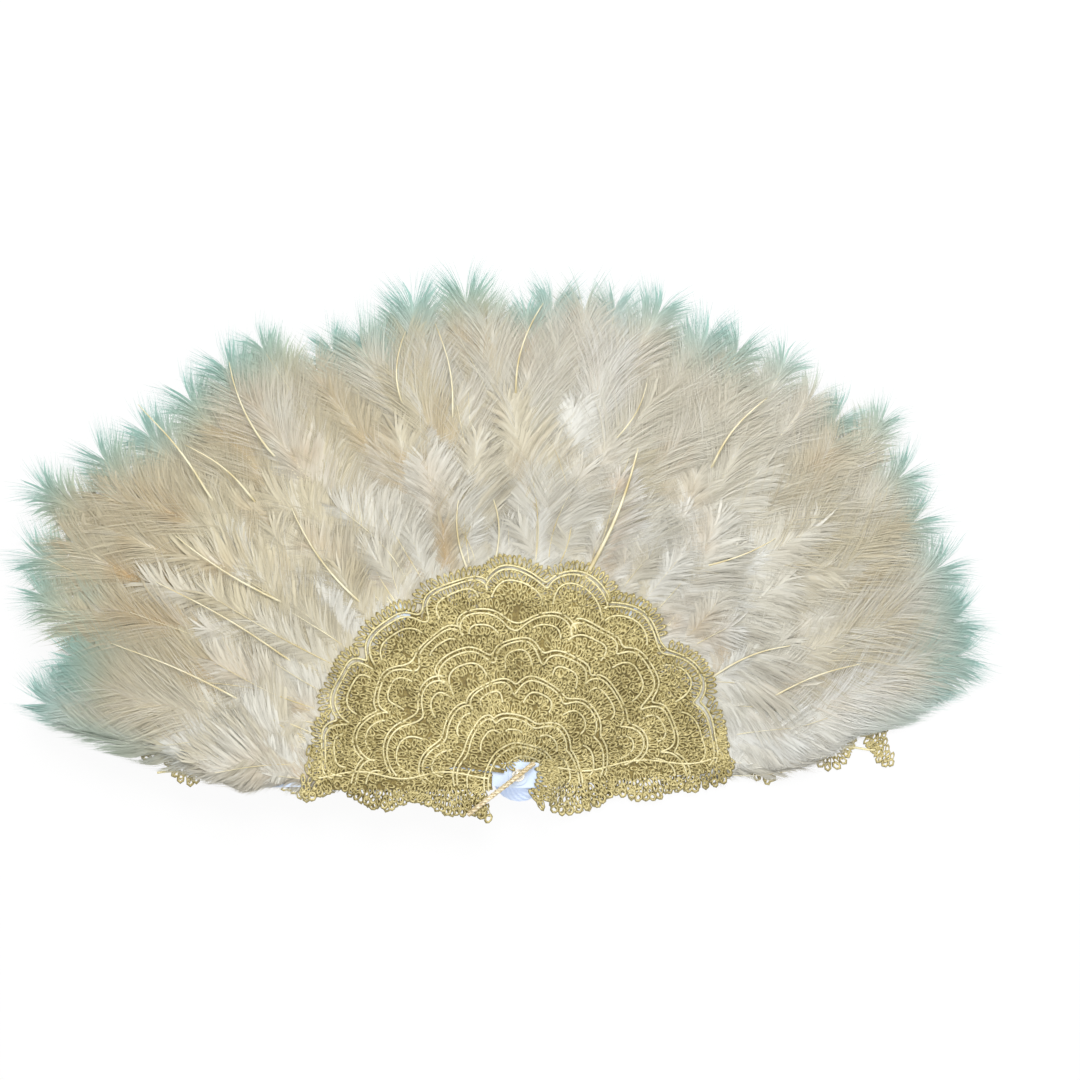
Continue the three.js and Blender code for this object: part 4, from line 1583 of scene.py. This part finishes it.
def tail_path():
    """The middle line of the cord, in millimetres."""
    low, high = (corner.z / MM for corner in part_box("braid_tail"))
    over_head, over_rivet = low + TAIL_RADIUS, high - TAIL_RADIUS
    over_lace = level(f"front_lace_{NUMBERS[-1]}", top=True) / MM + TAIL_SEAT + TAIL_RADIUS
    along = np.linspace(TAIL_ROOT, TAIL_REACH, TAIL_POINTS)
    height = over_head + (over_rivet - over_head) * smooth(*TAIL_RISE, along)
    height = height + (over_lace - over_rivet) * smooth(*TAIL_FALL, along)
    flat = beside(along, TAIL_HEADING, 0)
    return along, np.column_stack([flat, height])


def make_tail():
    along, middle = tail_path()
    side = np.array([-math.sin(TAIL_HEADING), math.cos(TAIL_HEADING), 0])
    up = np.array([0, 0, 1])
    lines = []
    for strand in range(STRANDS):
        turn = 2 * np.pi * (along / TWIST_LENGTH + strand / STRANDS)
        offset = np.outer(np.cos(turn), side) + np.outer(np.sin(turn), up)
        points = middle + offset * (TAIL_RADIUS - STRAND_RADIUS)
        lines.append((points * MM, {"thick": np.full(len(along), STRAND_RADIUS * MM)}))
    tail = grown("twisted_tail", polylines("lines", lines), sweep_strands,
                 {"Sides": STRAND_SIDES, "Finish": braid_gold})
    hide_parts("braid_tail")
    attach(tail, "front_guard")
    path = middle * MM
    length = float(np.linalg.norm(np.diff(path, axis=0), axis=1).sum())
    tuple(path[0])
    [tuple(point) for point in path]
    print("cord length (mm):", round(length / MM, 1), "triangles:", triangles(tail))


braid_gold = thread_finish("braid_gold", linear(176, 156, 112), linear(240, 228, 200), 0.3)
make_tail()

# %% [markdown]
# ## Floor and light
# The fan lies on white paper under soft light. A lit floor alone would turn grey towards its ends,
# so this one mostly shines plain white to the camera and still takes a faint shadow. One large
# lamp stands beyond the top of the picture, a weaker one to the lower right, and the sky is even.


# %% Floor, lamps and world
FLOOR_HALF = 3.0
FLOOR_DROP = 0.5 * MM
FLOOR_SHINE = 0.92
PAPER = (0.9, 0.9, 0.9, 1)
WHITE = (1, 1, 1, 1)
SKY_STRENGTH = 0.55
LAMP_AIM = (0, 0.13, 0)


def seen_directly(graph):
    """1 for rays from the camera, and for those seen in metal or glass."""
    path = graph.node("ShaderNodeLightPath")
    mirrored = highest(graph, path["Is Camera Ray"], path["Is Glossy Ray"])
    return highest(graph, mirrored, path["Is Transmission Ray"])


def white_floor():
    mesh = bpy.data.meshes.new("floor")
    corners = [(-1, -1), (1, -1), (1, 1), (-1, 1)]
    mesh.from_pydata([(x * FLOOR_HALF, y * FLOOR_HALF, 0) for x, y in corners], [], [(0, 1, 2, 3)])
    floor = bpy.data.objects.new("floor", mesh)
    bpy.context.collection.objects.link(floor)
    material = bpy.data.materials.new("white_floor")
    material.use_nodes = True
    material.node_tree.nodes.clear()
    graph = Graph(material.node_tree)
    matt = graph.node("ShaderNodeBsdfDiffuse", None, {"Color": PAPER})
    plain = graph.node("ShaderNodeEmission", None, {"Color": WHITE, "Strength": 1.0})
    share = seen_directly(graph) * FLOOR_SHINE
    mixed = graph.node("ShaderNodeMixShader", None, {0: share, 1: matt, 2: plain})
    graph.node("ShaderNodeOutputMaterial", None, {"Surface": mixed})
    mesh.materials.append(material)
    floor.location.z = -FLOOR_DROP


def lamp(name, place, size, power):
    data = bpy.data.lights.new(name, "AREA")
    data.size = size
    data.energy = power
    light = bpy.data.objects.new(name, data)
    light.location = place
    aim = np.array(LAMP_AIM) - np.array(place)
    flat = math.hypot(aim[0], aim[1])
    light.rotation_euler = (math.atan2(flat, -aim[2]), 0, math.atan2(aim[1], aim[0]) - math.pi / 2)
    bpy.context.collection.objects.link(light)


def white_world():
    world = bpy.data.worlds.new("world")
    bpy.context.scene.world = world
    world.use_nodes = True
    world.node_tree.nodes.clear()
    graph = Graph(world.node_tree)
    sky = graph.node("ShaderNodeBackground", None, {"Color": WHITE, "Strength": SKY_STRENGTH})
    backdrop = graph.node("ShaderNodeBackground", None, {"Color": WHITE, "Strength": 1.0})
    mixed = graph.node("ShaderNodeMixShader", None, {0: seen_directly(graph), 1: sky, 2: backdrop})
    graph.node("ShaderNodeOutputWorld", None, {"Surface": mixed})


white_floor()
lamp("key_lamp", (0.05, 0.85, 1.2), 0.8, 17)
lamp("fill_lamp", (0.5, -0.35, 1.3), 1.0, 6)
white_world()
bpy.context.scene.view_settings.view_transform = "Standard"
print("stage ready")
